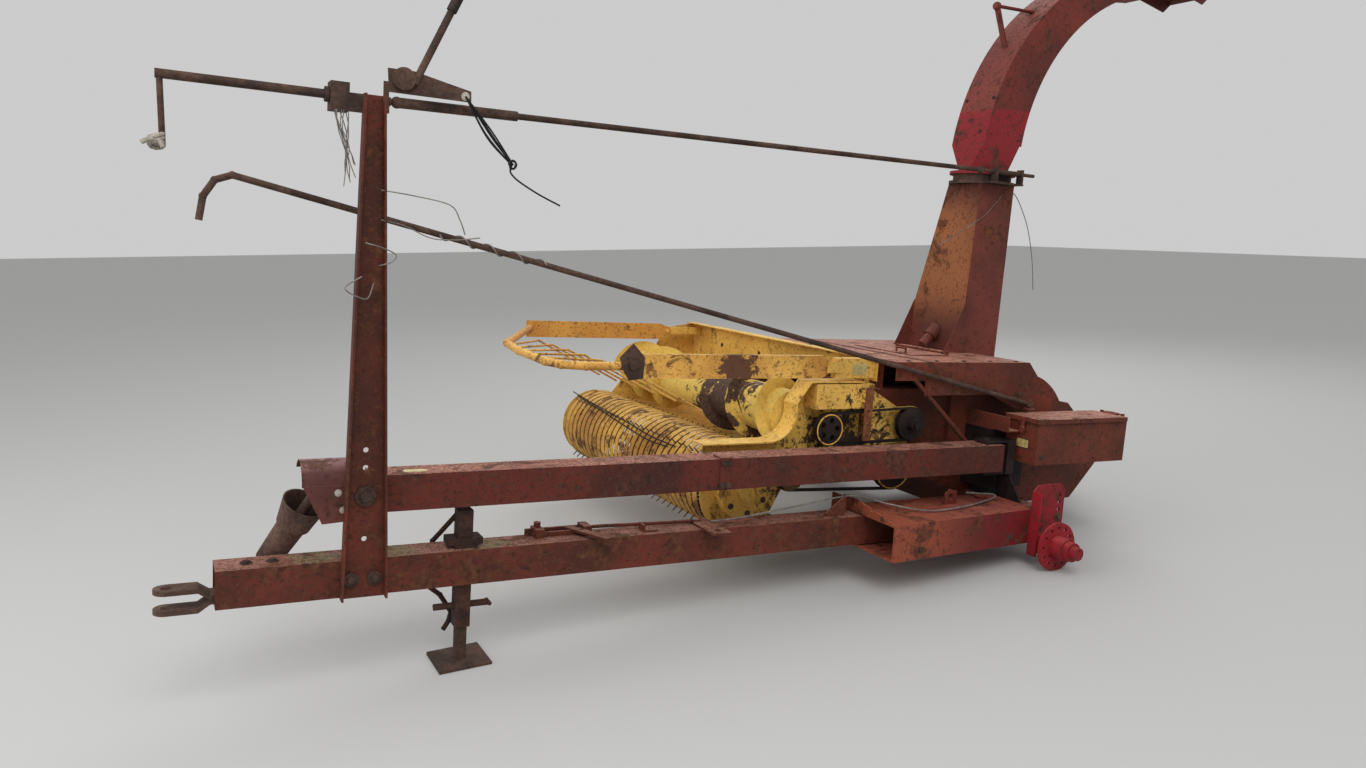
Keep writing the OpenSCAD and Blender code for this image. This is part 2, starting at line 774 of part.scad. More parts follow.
// Deflector flap on the end of the spout: a top sheet with two cheeks
module spout_flap() {
    half = spout_w / 2 + run_gap;
    stand() color(red) {
        for (side = [-1, 1]) {
            low = side > 0 ? -spout_y + half : -spout_y - half - sheet_t;
            plate_xz(low, low + sheet_t) polygon([[flap_hinge_x + 26, flap_hinge_z + 18],
                [flap_hinge_x + 30, flap_hinge_z - 80], [flap_tip_x + 60, flap_tip_z - 55],
                [flap_tip_x, flap_tip_z], [flap_tip_x + 130, flap_hinge_z]]);
        }
        plate_xz(-spout_y - half - sheet_t, -spout_y + half + sheet_t)
            polygon([[flap_hinge_x - 22, flap_hinge_z + 16], [flap_tip_x + 130, flap_hinge_z],
                [flap_tip_x, flap_tip_z], [flap_tip_x + 2, flap_tip_z - 5],
                [flap_tip_x + 131, flap_hinge_z - 5], [flap_hinge_x - 22, flap_hinge_z + 11]]);
        rod_y(flap_hinge_x, flap_hinge_z, -spout_y - half, -spout_y + half, flap_hinge_r);
    }
}

// What lies on the tongue: the latch of its swing, its lug, the cable's tab and a gusset
tab_x = 1660;
gusset_x = 975;

module tongue_fittings() {
    far = -tongue_y - tongue_half;
    rooted_z = tongue_top - 2;
    block([2140, far + 2, rooted_z], [2400, far + 14, tongue_top + 24]);
    block([2150, far + 40, rooted_z], [2380, far + 50, tongue_top + 18]);
    for (x = [2150, 2340]) {
        block([x, far + 2, rooted_z], [x + 34, far + 62, tongue_top + 32]);
        block([x, far - 6, tongue_top], [x + 34, far + 4, tongue_top + 32]);
    }
    bar([2357, far + 20, tongue_top + 20], [2357, far + 20, tongue_top + 52], 13);
    translate([0, 0, tongue_top + 14]) linear_extrude(9)
        polygon([[2250, far + 6], [2210, far + 6], [2118, face_y + 62], [2152, face_y + 78]]);
    bar([2150, far + 16, tongue_top + 16], [tab_x, far + 34, tongue_top + 10], 7);
    block([1885, far + 45, rooted_z], [1945, far + 95, tongue_top + 7]);
    block([1938, far + 45, rooted_z], [1945, far + 95, tongue_top + 28]);
    block([tab_x - 42, far + 6, rooted_z], [tab_x + 42, face_y - 2, tongue_top + 4]);
    difference() {
        translate([0, 0, tongue_top]) linear_extrude(9) polygon([[tab_x + 42, far + 6],
            [tab_x - 42, far + 6], [tab_x - 42, face_y + 92], [tab_x + 42, face_y + 92]]);
        translate([tab_x, face_y + 50, tongue_top - 1]) cylinder(h = 11, r = 14);
    }
    plate_xz(face_y - 40, face_y - 32) polygon([[gusset_x, tongue_top - 2],
        [gusset_x + 125, tongue_top - 2], [gusset_x + 8, tongue_top + 84],
        [gusset_x, tongue_top + 84]]);
    block([gusset_x, far + 6, tongue_top - 2], [gusset_x + 8, face_y - 32, tongue_top + 84]);
}

// Tongue: a square tube, round at its swing pivot, with a square hole for the jack
module tongue() {
    stand() color(red) tongue_fittings();
    stand() color(red) difference() {
        union() {
            tube_x(pivot_x, tongue_front, -tongue_y, tongue_z, tongue_w, tongue_wall);
            translate([pivot_x, -tongue_y, tongue_z]) difference() {
                cylinder(h = tongue_w, r = tongue_half);
                translate([0, -tongue_w, tongue_wall])
                    cube([tongue_w, 2 * tongue_w, tongue_w - 2 * tongue_wall]);
            }
            translate([pivot_x, -tongue_y, tongue_z]) cylinder(h = tongue_w, r = pivot_r + 12);
        }
        translate([pivot_x, -tongue_y, tongue_z - 1]) cylinder(h = tongue_w + 2, r = pivot_r + pin_gap);
        translate([jack_x - jack_sleeve_w / 2, -tongue_y - jack_sleeve_w / 2, tongue_z - 1])
            cube([jack_sleeve_w, jack_sleeve_w, tongue_w + 2]);
    }
}

// Clevis: two forged ears that close up into one shank inside the tongue
ear_mid_z = ear_low_z + ear_t + ear_gap / 2;
shank_rear = tongue_front - 230;
ear_bend = 90;

module ear_outline(low_z, shank_z) {
    bend = hitch_x - ear_bend;
    neck = tongue_front + 12;
    polygon([[hitch_x + ear_half, low_z], [bend, low_z], [neck, shank_z],
        [shank_rear, shank_z], [shank_rear, shank_z + ear_t], [neck, shank_z + ear_t],
        [bend, low_z + ear_t], [hitch_x + ear_half, low_z + ear_t]]);
}

module clevis() {
    stand() color(steel) {
        difference() {
            intersection() {
                plate_xz(-tongue_y - ear_half, -tongue_y + ear_half) {
                    ear_outline(ear_low_z, ear_mid_z - ear_t);
                    ear_outline(ear_low_z + ear_t + ear_gap, ear_mid_z);
                }
                translate([0, 0, -100]) linear_extrude(300) {
                    translate([hitch_x, -tongue_y]) circle(r = ear_half);
                    translate([shank_rear - 10, -tongue_y - ear_half])
                        square([hitch_x - shank_rear + 10, 2 * ear_half]);
                }
            }
            translate([hitch_x, -tongue_y, -100]) cylinder(h = 300, r = hitch_hole_r);
        }
        block([shank_rear + 10, -tongue_y - 30, tongue_z + tongue_wall],
            [tongue_front - 30, -tongue_y + 30, ear_mid_z - ear_t]);
    }
}

// Post: a tapered channel, open to the left, on the left face of the tongue
post_foot_z = tongue_z - 3;
guide_front = post_x + 128;
guide_rear = post_x + 72;
guide_low = post_top_z - 58;
guide_high = post_top_z + 30;

module post_outline(inset) {
    polygon([[post_x - post_foot_w / 2 + inset, post_foot_z],
        [post_x + post_foot_w / 2 - inset, post_foot_z],
        [post_x + post_top_w / 2 - inset, post_top_z],
        [post_x - post_top_w / 2 + inset, post_top_z]]);
}

module post() {
    tie = 10;
    stand() color(red) {
        difference() {
            plate_xz(face_y, face_y + post_depth) post_outline(0);
            for (z = [205, 448, 508]) rod_y(post_x, z, face_y - 1, face_y + post_t + 1, hole_r);
            plate_xz(face_y + post_t, face_y + post_depth + 1) {
                post_outline(post_t);
                translate([post_x - post_foot_w / 2 + post_t, post_foot_z - 10])
                    square([post_foot_w - 2 * post_t, 12]);
            }
        }
        for (x = [post_x - 35, post_x + 40])
            head_y(x, face_y + post_t, tongue_mid_z, 12, 8);
        head_y(post_x, face_y + post_t, beam_mid_z, 26, 8);
        block([post_x, face_y - tie, guide_low], [guide_front, face_y, guide_low + 50]);
        block([post_x - 6, shift_y + 18, shift_z - 12], [post_x + 6, face_y, shift_z + 12]);
        difference() {
            bar([post_x - 6, shift_y, shift_z], [post_x + 6, shift_y, shift_z], 24);
            bar([post_x - 7, shift_y, shift_z], [post_x + 7, shift_y, shift_z], shift_r + 5);
        }
        difference() {
            block([guide_rear, crank_y - 36, guide_low], [guide_front, face_y, guide_high]);
            bar([guide_rear - 1, crank_y, crank_z], [guide_front + 1, crank_y, crank_z],
                crank_r + pin_gap);
        }
    }
}

// Driveline beam above the tongue, on its own swing pin at the rear
beam_rear = pivot_x - 50;

module driveline_beam() {
    stand() color(red) difference() {
        union() {
            tube_x(beam_rear, beam_front, -tongue_y, beam_z, tongue_w, tongue_wall);
            block([beam_rear - 8, -tongue_y - tongue_half, beam_z],
                [beam_rear, -tongue_y + tongue_half, beam_top]);
            block([1590, face_y, beam_z + 5], [1640, face_y + 6, beam_top + 6]);
            block([1590, face_y - 60, beam_top], [1640, face_y, beam_top + 6]);
        }
        translate([pivot_x, -tongue_y, beam_z - 1])
            cylinder(h = tongue_w + 2, r = beam_pin_r + pin_gap);
    }
}

// Driveline shield: a half-round hood of sheet over the open bell of the shaft's guard tube,
// which hangs down past the far side of the tongue
module driveline_shield() {
    fold = beam_front + 85;
    edge = beam_front + 230;
    middle = -tongue_y;
    hood_r = 78;
    hood_y = face_y - hood_r - 2;
    hood_mid_z = 387;
    bell = [beam_front + 210, middle - 27, 315];
    neck = [beam_front + 240, middle - 64, 235];
    end = [beam_front + 310, middle - 144, 95];
    stand() color(red) {
        block([beam_front, middle - tongue_half, beam_z],
            [beam_front + 10, face_y, beam_top]);
        plate_xz(face_y - sheet_t, face_y) polygon([[beam_front + 2, 295], [fold - 10, 295],
            [fold - 10, 268], [edge - 63, 262], [edge - 2, hood_mid_z + 4],
            [beam_front + 2, hood_mid_z + 4]]);
        difference() {
            bar([fold - 5, hood_y, hood_mid_z], [edge, hood_y, hood_mid_z], hood_r);
            bar([fold - 6, hood_y, hood_mid_z], [edge + 1, hood_y, hood_mid_z], hood_r - sheet_t);
            block([fold - 10, hood_y - 100, hood_mid_z - 100],
                [edge + 10, hood_y + 100, hood_mid_z]);
            block([fold - 10, hood_y - 100, hood_mid_z - 1], [edge + 10, hood_y, hood_mid_z + 40]);
        }
        difference() {
            cone(bell, neck, 72, 57);
            cone(bell - (neck - bell) * 0.02, bell + (neck - bell) * 0.8, 68, 52);
        }
        cone(neck + (bell - neck) * 0.1, end, 49, 42);
        bar([beam_front + 2, middle, beam_mid_z], [beam_front + 178, middle - 15, 350], 20);
        bar([beam_front + 176, middle - 14, 352], neck, 18);
    }
}

// Hand crank of the spout, in its guide block on the post
crank_y = -tongue_y + 30;
crank_z = 1640;
crank_r = 14;
crank_front = 3620;
joint_x = post_x - 60;

module spout_crank() {
    stand() color(steel) {
        bar([crank_front, crank_y, crank_z], [joint_x, crank_y, crank_z], crank_r);
        bar([crank_front - 12, crank_y, crank_z], [crank_front - 20, crank_y, crank_z - 205], 9);
        bar([guide_front + 2, crank_y, crank_z], [guide_front + 14, crank_y, crank_z], 24);
    }
}

// Telescoping shaft from the crank's joint behind the post to the turntable's worm
crank_from = [joint_x - yoke_r - pin_gap, crank_y, crank_z];
crank_to = [worm_front, worm_y, worm_z];
crank_run = crank_to - crank_from;
crank_dir = crank_run / norm(crank_run);
sleeve_len = 430;
sleeve_r = 17;
shaft_r = 11;

module crank_sleeve() {
    stand() color(steel) difference() {
        union() {
            translate(crank_from) sphere(r = yoke_r);
            bar(crank_from, crank_from + sleeve_len * crank_dir, sleeve_r);
        }
        bar(crank_from + 20 * crank_dir, crank_from + (sleeve_len + 1) * crank_dir,
            shaft_r + pin_gap);
    }
}

module crank_shaft() {
    stand() color(steel) {
        bar(crank_from + 60 * crank_dir, crank_to, shaft_r);
        translate(crank_to) rotate([0, 0, 180]) sphere(r = yoke_r);
    }
}

// Shift rod from its hook at the front down to the gear shift at the tool box
shift_y = -tongue_y - tongue_half - 20;
shift_r = 11;
shift_end = [-185, -420, 586];
shift_z = 1284;

module shift_rod() {
    stand() color(steel) difference() {
        union() {
            bent_bar([[3500, shift_y, 1225], [3488, shift_y, 1300], [3455, shift_y, 1352],
                [3405, shift_y, 1371], shift_end], shift_r);
            translate(shift_end - [0, 0, 11]) cylinder(h = 22, r = 19);
        }
        translate(shift_end - [0, 0, 30]) cylinder(h = 60, r = shift_pin_r + pin_gap);
    }
}

// Rope lever on top of the post
module rope_lever() {
    low = crank_y + 18;
    stand() color(steel) {
        plate_xz(low, low + 6) difference() {
            polygon([[2963, 1742], [2958, 1668], [2691, 1667], [2692, 1702], [2880, 1742]]);
            translate([2712, 1684]) circle(r = 8);
        }
        rod_y(2915, 1712, low, low + 26, 36);
        bar([2880, low + 12, 1702], [2768, low + 12, 1945], 12);
        bar([2768, low + 12, 1945], [2706, low + 12, 2080], 17);
        block([2958, low, 1600], [post_x - 1, face_y, 1625]);
        block([2958, low, 1600], [2975, low + 6, 1700]);
    }
}

// Jack: a square sleeve through the tongue, and the drop leg that slides in it
sleeve_top = beam_z - 24;
leg_gap = 0.5;
leg_top = 100;
sleeve_low = -166;
lock_z = -90;
handle_y = -tongue_y - tongue_half - 22;
ground_z = -(hub_flange_r + jack_x * sin(stand_pitch)) / cos(stand_pitch);

module jack_sleeve() {
    half = jack_sleeve_w / 2;
    bore = jack_leg_w / 2 + leg_gap;
    stand() color(dark) {
        difference() {
            translate([jack_x - half, -tongue_y - half, sleeve_low])
                cube([jack_sleeve_w, jack_sleeve_w, sleeve_top - sleeve_low]);
            translate([jack_x - bore, -tongue_y - bore, sleeve_low - 1])
                cube([2 * bore, 2 * bore, sleeve_top - sleeve_low - 20]);
        }
        for (x = [jack_x - 100, jack_x + bore])
            bar([x, -tongue_y, lock_z], [x + 100 - bore, -tongue_y, lock_z], 12);
        bar([jack_x - 100, -tongue_y - 22, lock_z], [jack_x - 100, -tongue_y + 22, lock_z], 8);
        bent_bar([[jack_x + 12, -tongue_y - 14, sleeve_top - 11],
            [jack_x + 88, handle_y, 130], [jack_x + 111, handle_y, -29],
            [jack_x + 55, handle_y, -76],
            [jack_x + 12, handle_y, -146], [jack_x + 20, handle_y, -181],
            [jack_x + 40, handle_y, -212]], 9);
        translate([jack_x, -tongue_y, tongue_top]) difference() {
            union() {
                translate([-42, -42, 0]) cube([84, 84, 12]);
                translate([-62, -36, 11]) cube([124, 72, 24]);
            }
            translate([-half, -half, -1]) cube([jack_sleeve_w, jack_sleeve_w, 40]);
        }
    }
}

module jack_leg() {
    half = jack_leg_w / 2;
    stand() color(steel) {
        difference() {
            translate([jack_x - half, -tongue_y - half, ground_z + foot_t / 2])
                cube([jack_leg_w, jack_leg_w, leg_top - ground_z - foot_t / 2]);
            translate([jack_x - half + 6, -tongue_y - half + 6, ground_z + 40])
                cube([jack_leg_w - 12, jack_leg_w - 12, leg_top - ground_z]);
        }
        translate([jack_x, -tongue_y, ground_z]) rotate([0, stand_pitch, 0])
            translate([-foot_w / 2, -foot_w / 2, 0]) cube([foot_w, foot_w, foot_t]);
    }
}

// Bare left hub: flange, barrel and cap on the spindle
module left_hub() {
    stand() color(bright_red) difference() {
        union() {
            rod_y(0, 0, -12, 0, hub_flange_r);
            rod_y(0, 0, -52, 64, 52);
            rod_y(0, 0, 60, 92, 44);
            rod_y(0, 0, 90, hub_cap_y, 30);
        }
        for (a = [0 : 30 : 330]) rod_y(86 * cos(a), 86 * sin(a), -20, 8, hole_r);
        rod_y(0, 0, -60, 62, spindle_r + pin_gap);
    }
}

// Right wheel: rim with its disc and hub, and the tyre on it
module right_rim() {
    y = -track;
    half = tyre_w / 2 - 22;
    stand() color(yellow) difference() {
        union() {
            difference() {
                rod_y(0, right_hub_z, y - half, y + half, rim_r);
                rod_y(0, right_hub_z, y - half - 1, y + half + 1, rim_r - 12);
            }
            rod_y(0, right_hub_z, y - 10, y, rim_r - 2);
            rod_y(0, right_hub_z, y - 64, y + 50, 52);
            rod_y(0, right_hub_z, y - 84, y - 60, 40);
        }
        rod_y(0, right_hub_z, y - 62, y + 62, spindle_r + pin_gap);
    }
}

module right_tyre() {
    half = tyre_w / 2;
    stand() color(dark) translate([0, -track, right_hub_z]) rotate([90, 0, 0])
        rotate_extrude() polygon([[rim_r, -half + 22], [rim_r + 20, -half + 8],
            [wheel_r - 55, -half], [wheel_r - 14, -half + 14], [wheel_r, -half + 40],
            [wheel_r, half - 40], [wheel_r - 14, half - 14], [wheel_r - 55, half],
            [rim_r + 20, half - 8], [rim_r, half - 22]]);
}

// Header frame: back wall with the crop opening, floor, lift arms and guard hinges
header_t = 5;
floor_z = 330;
floor_front = auger_x + 30;
side_y = -header_near_y - 100;
arm_near_y = -house_near_y + 5;
arm_far_y = feed_far_y - 45;
guard_x = 960;
guard_z = 755;
guard_pin_r = 10;
near_arm_y = -header_near_y - 35;
far_arm_y = -header_far_y + 115;
rod_eye_x = 600;
rod_eye_z = 295;
rod_eye_y = arm_far_y - 40;
eye_pin_r = 14;

module lift_arm(y) {
    difference() {
        plate_xz(y, y + plate_t) polygon([[lift_x - 45, lift_z + 45], [lift_x - 45, lift_z - 55],
            [500, 250], [620, 235], [back_x, 330], [back_x, 660], [lift_x + 45, lift_z + 70]]);
        rod_y(lift_x, lift_z, y - 1, y + plate_t + 1, lift_pin_r + pin_gap);
    }
}

module header_frame() {
    stand() color(yellow) {
        difference() {
            block([back_x, -header_far_y, floor_z], [back_x + header_t, -header_near_y,
                back_top_z]);
            block([back_x - 1, feed_far_y - 20, floor_z + 20], [back_x + header_t + 1,
                feed_near_y + 20, 690]);
            block([back_x - 1, side_y + 44, floor_z - 1],
                [back_x + header_t + 1, -header_near_y + 1, 692]);
        }
        block([back_x, -header_far_y + header_t, back_top_z - header_t],
            [back_x + 60, -header_near_y, back_top_z]);
        block([back_x, -header_far_y + header_t, floor_z], [floor_front, side_y - header_t,
            floor_z + header_t]);
        lift_arm(arm_near_y);
        lift_arm(arm_far_y);
        rod_y(rod_eye_x, rod_eye_z, rod_eye_y - 14, arm_far_y, eye_pin_r);
        block([back_x + header_t, near_arm_y - 19, guard_z - 50],
            [935, near_arm_y + 19, back_top_z - header_t]);
        block([765, near_arm_y + 19, guard_z - 35], [850, near_arm_y + 21, guard_z + 18]);
        for (y = [near_arm_y - 28, near_arm_y + 19])
            block([900, y, guard_z - 25], [985, y + 9, guard_z + 25]);
        rod_y(guard_x, guard_z, near_arm_y - 28, near_arm_y + 28, guard_pin_r);
        block([back_x + header_t, far_arm_y - 25, guard_z - 20],
            [985, far_arm_y - 10, guard_z + 20]);
        rod_y(guard_x, guard_z, far_arm_y - 25, far_arm_y + 12, guard_pin_r);
    }
}

// Header ends: the near curved band with its side panel, and the far side panel
module header_sides() {
    stand() color(yellow) {
        plate_xz(side_y, -header_near_y) polygon(concat([[back_x + 70, 692], [1075, 692]],
            arc([1270, 560], 130, 165, 270), [[1600, 430], [1600, 424], [1270, 424]],
            arc([1270, 560], 136, 270, 165), [[1070, 686], [back_x + 70, 686]]));
        plate_xz(side_y - header_t, side_y) polygon(concat([[back_x + header_t, 330],
            [back_x + header_t, 692], [1075, 692]], arc([1270, 560], 130, 165, 270),
            [[1545, 430]], arc([reel_x, reel_z], band_r, 0, -150), [[1090, 250]]));
        plate_xz(-header_far_y, -header_far_y + header_t) polygon(concat(
            [[back_x + header_t, 330], [back_x + header_t, back_top_z - header_t], [920, 764],
            [985, 620], [1130, 600], [1160, 480]], arc([reel_x, reel_z], band_r - 8, 120, -150),
            [[1090, 250]]));
    }
}

// Stripper bands: open rings round the reel, whose tails run back under the header's floor
first_band_y = side_y - header_t - 25;
last_band_y = first_band_y - (band_count - 1) * band_pitch - band_w;
tail = [1110, 175];
tail_r = 140;
band_t = 4;
band_cut = 1095;

module band_outline() {
    difference() {
        belt_outline([reel_x, reel_z], band_r, tail, tail_r);
        belt_outline([reel_x, reel_z], band_r - band_t, tail, tail_r - band_t);
        translate([band_cut - 400, reel_z - 400]) square([400, 800]);
    }
}

module stripper_bands() {
    stand() color(yellow) {
        for (i = [0 : band_count - 1]) {
            y = first_band_y - i * band_pitch;
            plate_xz(y - band_w, y) band_outline();
        }
        block([band_cut, last_band_y, floor_z - 14], [band_cut + 15, first_band_y, floor_z]);
        block([band_cut, last_band_y, 22], [band_cut + 25, first_band_y, 34]);
    }
}

// Drive on the header's left end: gear case, sheaves, belts and the reel's end housing
belt_lift = 1.2;

function belt_loop(a, ra, b, rb) = let (run = b - a, lead = atan2(run[1], run[0]),
    lean = acos((ra - rb) / norm(run)))
    concat(arc(a, ra, lead + lean, lead + 360 - lean), arc(b, rb, lead - lean, lead + lean));

module belt(a, ra, b, rb, y) {
    low = belt_lift - groove;
    plate_xz(y - belt_half + 5, y + belt_half - 5) difference() {
        polygon(belt_loop(a, ra + 2, b, rb + 2));
        polygon(belt_loop(a, ra + low, b, rb + low));
    }
}

module header_drive() {
    upper = [953, 474];
    lower = [546, 279];
    front = [1125, 265];
    stand() {
        color(yellow) {
            block([back_x + 12, side_y, 568], [1040, -header_near_y, 680]);
            block([752, -header_near_y - 2, 600], [792, -465, 650]);
            rod_y(upper[0], upper[1], side_y, header_belt_y, 18);
            sheave(front[0], front[1], lower_belt_y, 70);
            rod_y(front[0], front[1], side_y, lower_belt_y, 18);
            rod_y(reel_x, reel_z, side_y, -header_near_y - 40, 123);
            rod_y(reel_x, reel_z, -header_near_y - 40, -header_near_y - 25, 40);
        }
        color(steel) difference() {
            block([752, -473, 425], [792, -465, 668]);
            for (z = [445, 500, 560, 640]) rod_y(772, z, -480, -460, 8);
        }
        color(dark) {
            difference() {
                sheave(upper[0], upper[1], header_belt_y, 73);
                for (a = [30 : 72 : 318]) rod_y(upper[0] + 41 * cos(a), upper[1] + 41 * sin(a),
                    header_belt_y - 20, header_belt_y + 20, 13);
            }
            sheave(lower[0], lower[1], lower_belt_y, 108);
            rod_y(lower[0], lower[1], arm_near_y + plate_t, lower_belt_y, 18);
            belt([lift_x, lift_z], drive_r, upper, 73, header_belt_y);
            belt(lower, 108, front, 70, lower_belt_y);
        }
    }
}

// Cross auger: tube, end stubs and two flights that bring the crop to the middle
auger_low = -header_far_y + header_t + 12;
auger_high = side_y - header_t - 12;
flight_turns = 2.2;
flight_steps = 48;
flight_len = 570;
flight_t = 5;

// A helical flight from y = low, wound to one hand or the other
module flight(low, hand) {
    half = 180 * flight_t * flight_turns / flight_len;
    translate([auger_x, low, auger_z]) rotate([-90, 0, 0])
        linear_extrude(height = flight_len, twist = hand * 360 * flight_turns,
            slices = flight_steps, segments = 4)
            polygon([for (p = [[auger_tube_r - 6, -half], [auger_flight_r, -half],
                [auger_flight_r, half], [auger_tube_r - 6, half]]) p[0] * [cos(p[1]), sin(p[1])]]);
}

module cross_auger() {
    stand() color(yellow) {
        rod_y(auger_x, auger_z, auger_low, auger_high, auger_tube_r);
        rod_y(auger_x, auger_z, -header_far_y + header_t + seat, side_y - header_t - seat, 20);
        flight(auger_low + 2, 1);
        flight(auger_high - flight_len - 2, -1);
    }
}

// Pickup reel: tine bars on a shaft, with tines between the bands
tine_bar_r = 150;
reel_bars = 4;

module pickup_reel() {
    stand() color(steel) {
        rod_y(reel_x, reel_z, -header_far_y + header_t + seat, side_y - header_t - seat, 22);
        for (y = [last_band_y - 8, (last_band_y + first_band_y) / 2, first_band_y + 4])
            rod_y(reel_x, reel_z, y, y + 6, tine_bar_r + 12);
        for (k = [0 : reel_bars - 1]) {
            a = 45 + k * 360 / reel_bars;
            rod_y(reel_x + tine_bar_r * cos(a), reel_z + tine_bar_r * sin(a), last_band_y - 8,
                first_band_y + 8, 10);
            for (i = [1 : band_count - 1]) {
                y = first_band_y - i * band_pitch + (band_pitch - band_w) / 2;
                translate([reel_x, y, reel_z]) rotate([0, 90 - a, 0]) translate([0, 0, tine_bar_r])
                    cylinder(h = band_r + tine_out - tine_bar_r, r = tine_r, $fn = 24);
            }
        }
    }
}

// Wind guard: two arms on their pins, a pipe hoop and the hold-down rods
guard_front = 1925;
far_front = 1820;

module guard_arm(y, w, high, front) {
    difference() {
        plate_xz(y - w / 2, y + w / 2) {
            translate([guard_x, guard_z]) circle(r = 24);
            polygon([[guard_x, guard_z - 24], [guard_x + 45, guard_z - 50],
                [front, guard_z - 50], [front, guard_z - 50 + high],
                [guard_x + 45, guard_z - 50 + high], [guard_x, guard_z + 24]]);
        }
        rod_y(guard_x, guard_z, y - w, y + w, guard_pin_r + pin_gap);
    }
}

module wind_guard() {
    hoop = [[guard_front - 20, near_arm_y, guard_z], [2130, near_arm_y - 5, guard_z],
        [2215, near_arm_y - 50, guard_z], [2245, near_arm_y - 150, guard_z],
        [2235, near_arm_y - 500, guard_z], [2190, near_arm_y - 800, guard_z],
        [far_front - 20, far_arm_y, guard_z]];
    stand() color(yellow) {
        guard_arm(near_arm_y, 28, 100, guard_front);
        guard_arm(far_arm_y, 10, 90, far_front);
        plate_xz(near_arm_y + 14, near_arm_y + 20) polygon([[1939, 848], [1996, 792],
            [1976, 736], [1950, 700], [1890, 707], [1886, 793]]);
        head_y(1936, near_arm_y + 20, 762, 20, 8);
        bent_bar(hoop, 17);
        for (i = [0 : 5]) {
            start_y = near_arm_y - 180 - i * 110;
            start = [lookup(start_y, [for (p = hoop) [p[1], p[0]]]), start_y, guard_z];
            bent_bar([start, [1900, near_arm_y - 180 - i * 200, guard_z - 25],
                [1480, near_arm_y - 210 - i * 230, guard_z - 225]], 5);
        }
    }
}

// Lift cylinder on the axle beam, and its rod to the header's right lift arm
ram_rear = [50, rod_eye_y, 190];
ram_front = [rod_eye_x, rod_eye_y, rod_eye_z];
ram_run = ram_front - ram_rear;
ram_dir = ram_run / norm(ram_run);
ram_len = 330;

module lift_cylinder() {
    stand() color(dark) difference() {
        union() {
            bar(ram_rear + 36 * ram_dir, ram_rear + ram_len * ram_dir, 30);
            bar(ram_rear + 16 * ram_dir, ram_rear + 40 * ram_dir, 11);
            rod_y(ram_rear[0], ram_rear[2], rod_eye_y - 12, rod_eye_y + 12, 24);
        }
        rod_y(ram_rear[0], ram_rear[2], rod_eye_y - 40, rod_eye_y + 40, ram_pin_r + pin_gap);
        bar(ram_rear + 60 * ram_dir, ram_rear + (ram_len + 1) * ram_dir, 14 + pin_gap);
    }
}

module lift_rod() {
    stand() color(steel) difference() {
        union() {
            bar(ram_rear + 230 * ram_dir, ram_front - 20 * ram_dir, 14);
            rod_y(ram_front[0], ram_front[2], rod_eye_y - 12, rod_eye_y + 12, 28);
        }
        rod_y(ram_front[0] - 0.6, ram_front[2] + 1, rod_eye_y - 40, rod_eye_y + 40,
            eye_pin_r + 1.8);
    }
}

axle_beam();
left_bracket();
right_bracket();
tongue_pocket();
gearbox();
cutter_housing();
feed_housing();
rear_pan();
hood();
access_cover();
drive_sheave();
tool_box();
tool_box_lid();
chute();
spout_turntable();
spout();
spout_flap();
tongue();
clevis();
post();
driveline_beam();
driveline_shield();
spout_crank();
crank_shaft();
crank_sleeve();
shift_rod();
rope_lever();
jack_sleeve();
jack_leg();
left_hub();
right_rim();
right_tyre();
header_frame();
header_sides();
stripper_bands();
header_drive();
cross_auger();
pickup_reel();
wind_guard();
lift_cylinder();
lift_rod();
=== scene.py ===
"""Looks of the pull-type forage harvester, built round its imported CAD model."""
import math
import random

import bpy
from mathutils import Euler, Matrix, Vector
from mathutils.bvhtree import BVHTree


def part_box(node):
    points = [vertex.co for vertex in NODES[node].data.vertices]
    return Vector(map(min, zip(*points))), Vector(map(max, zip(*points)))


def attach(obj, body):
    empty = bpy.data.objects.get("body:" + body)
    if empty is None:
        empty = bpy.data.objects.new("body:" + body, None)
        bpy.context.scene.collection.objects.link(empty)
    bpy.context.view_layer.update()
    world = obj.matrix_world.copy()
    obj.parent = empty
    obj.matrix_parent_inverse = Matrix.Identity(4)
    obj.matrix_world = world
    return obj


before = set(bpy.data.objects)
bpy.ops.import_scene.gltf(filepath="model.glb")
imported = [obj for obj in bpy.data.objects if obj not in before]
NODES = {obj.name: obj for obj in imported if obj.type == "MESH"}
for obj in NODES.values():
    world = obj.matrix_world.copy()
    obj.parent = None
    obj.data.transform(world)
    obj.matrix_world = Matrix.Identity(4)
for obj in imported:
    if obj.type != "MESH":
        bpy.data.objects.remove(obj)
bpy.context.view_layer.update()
draw = random.Random(7)

# The machine's own frame, as in the part's source: metres from the left hub, x forward, y left, z up
PITCH = math.radians(4.0)
HUB_HEIGHT = 0.112
MID_X = 0.8509163
MID_Y = -1.0865
TO_ROW = (Matrix.Translation((-MID_X, -MID_Y, HUB_HEIGHT))
          @ Matrix.Rotation(-PITCH, 4, "Y"))


def at(x, y, z):
    """A point of the machine's own frame in the row frame"""
    return TO_ROW @ Vector((x, y, z))


# Camera
CAMERA_AT = (2.6977, 4.1463, 1.5930)
CAMERA_TURN = (80.471, -0.123, 152.107)
CAMERA_LENS = 26.35
SENSOR = 36.0


def make_camera():
    data = bpy.data.cameras.new("camera")
    data.sensor_width = SENSOR
    data.lens = CAMERA_LENS
    camera = bpy.data.objects.new("camera", data)
    camera.location = CAMERA_AT
    camera.rotation_euler = Euler([math.radians(a) for a in CAMERA_TURN])
    bpy.context.scene.collection.objects.link(camera)
    bpy.context.scene.camera = camera


make_camera()


# Materials
def srgb(r, g, b):
    """An 8-bit screen colour as the linear colour that a shader takes"""
    out = []
    for c in (r, g, b):
        c /= 255.0
        out.append(c / 12.92 if c <= 0.04045 else ((c + 0.055) / 1.055) ** 2.4)
    return (*out, 1.0)


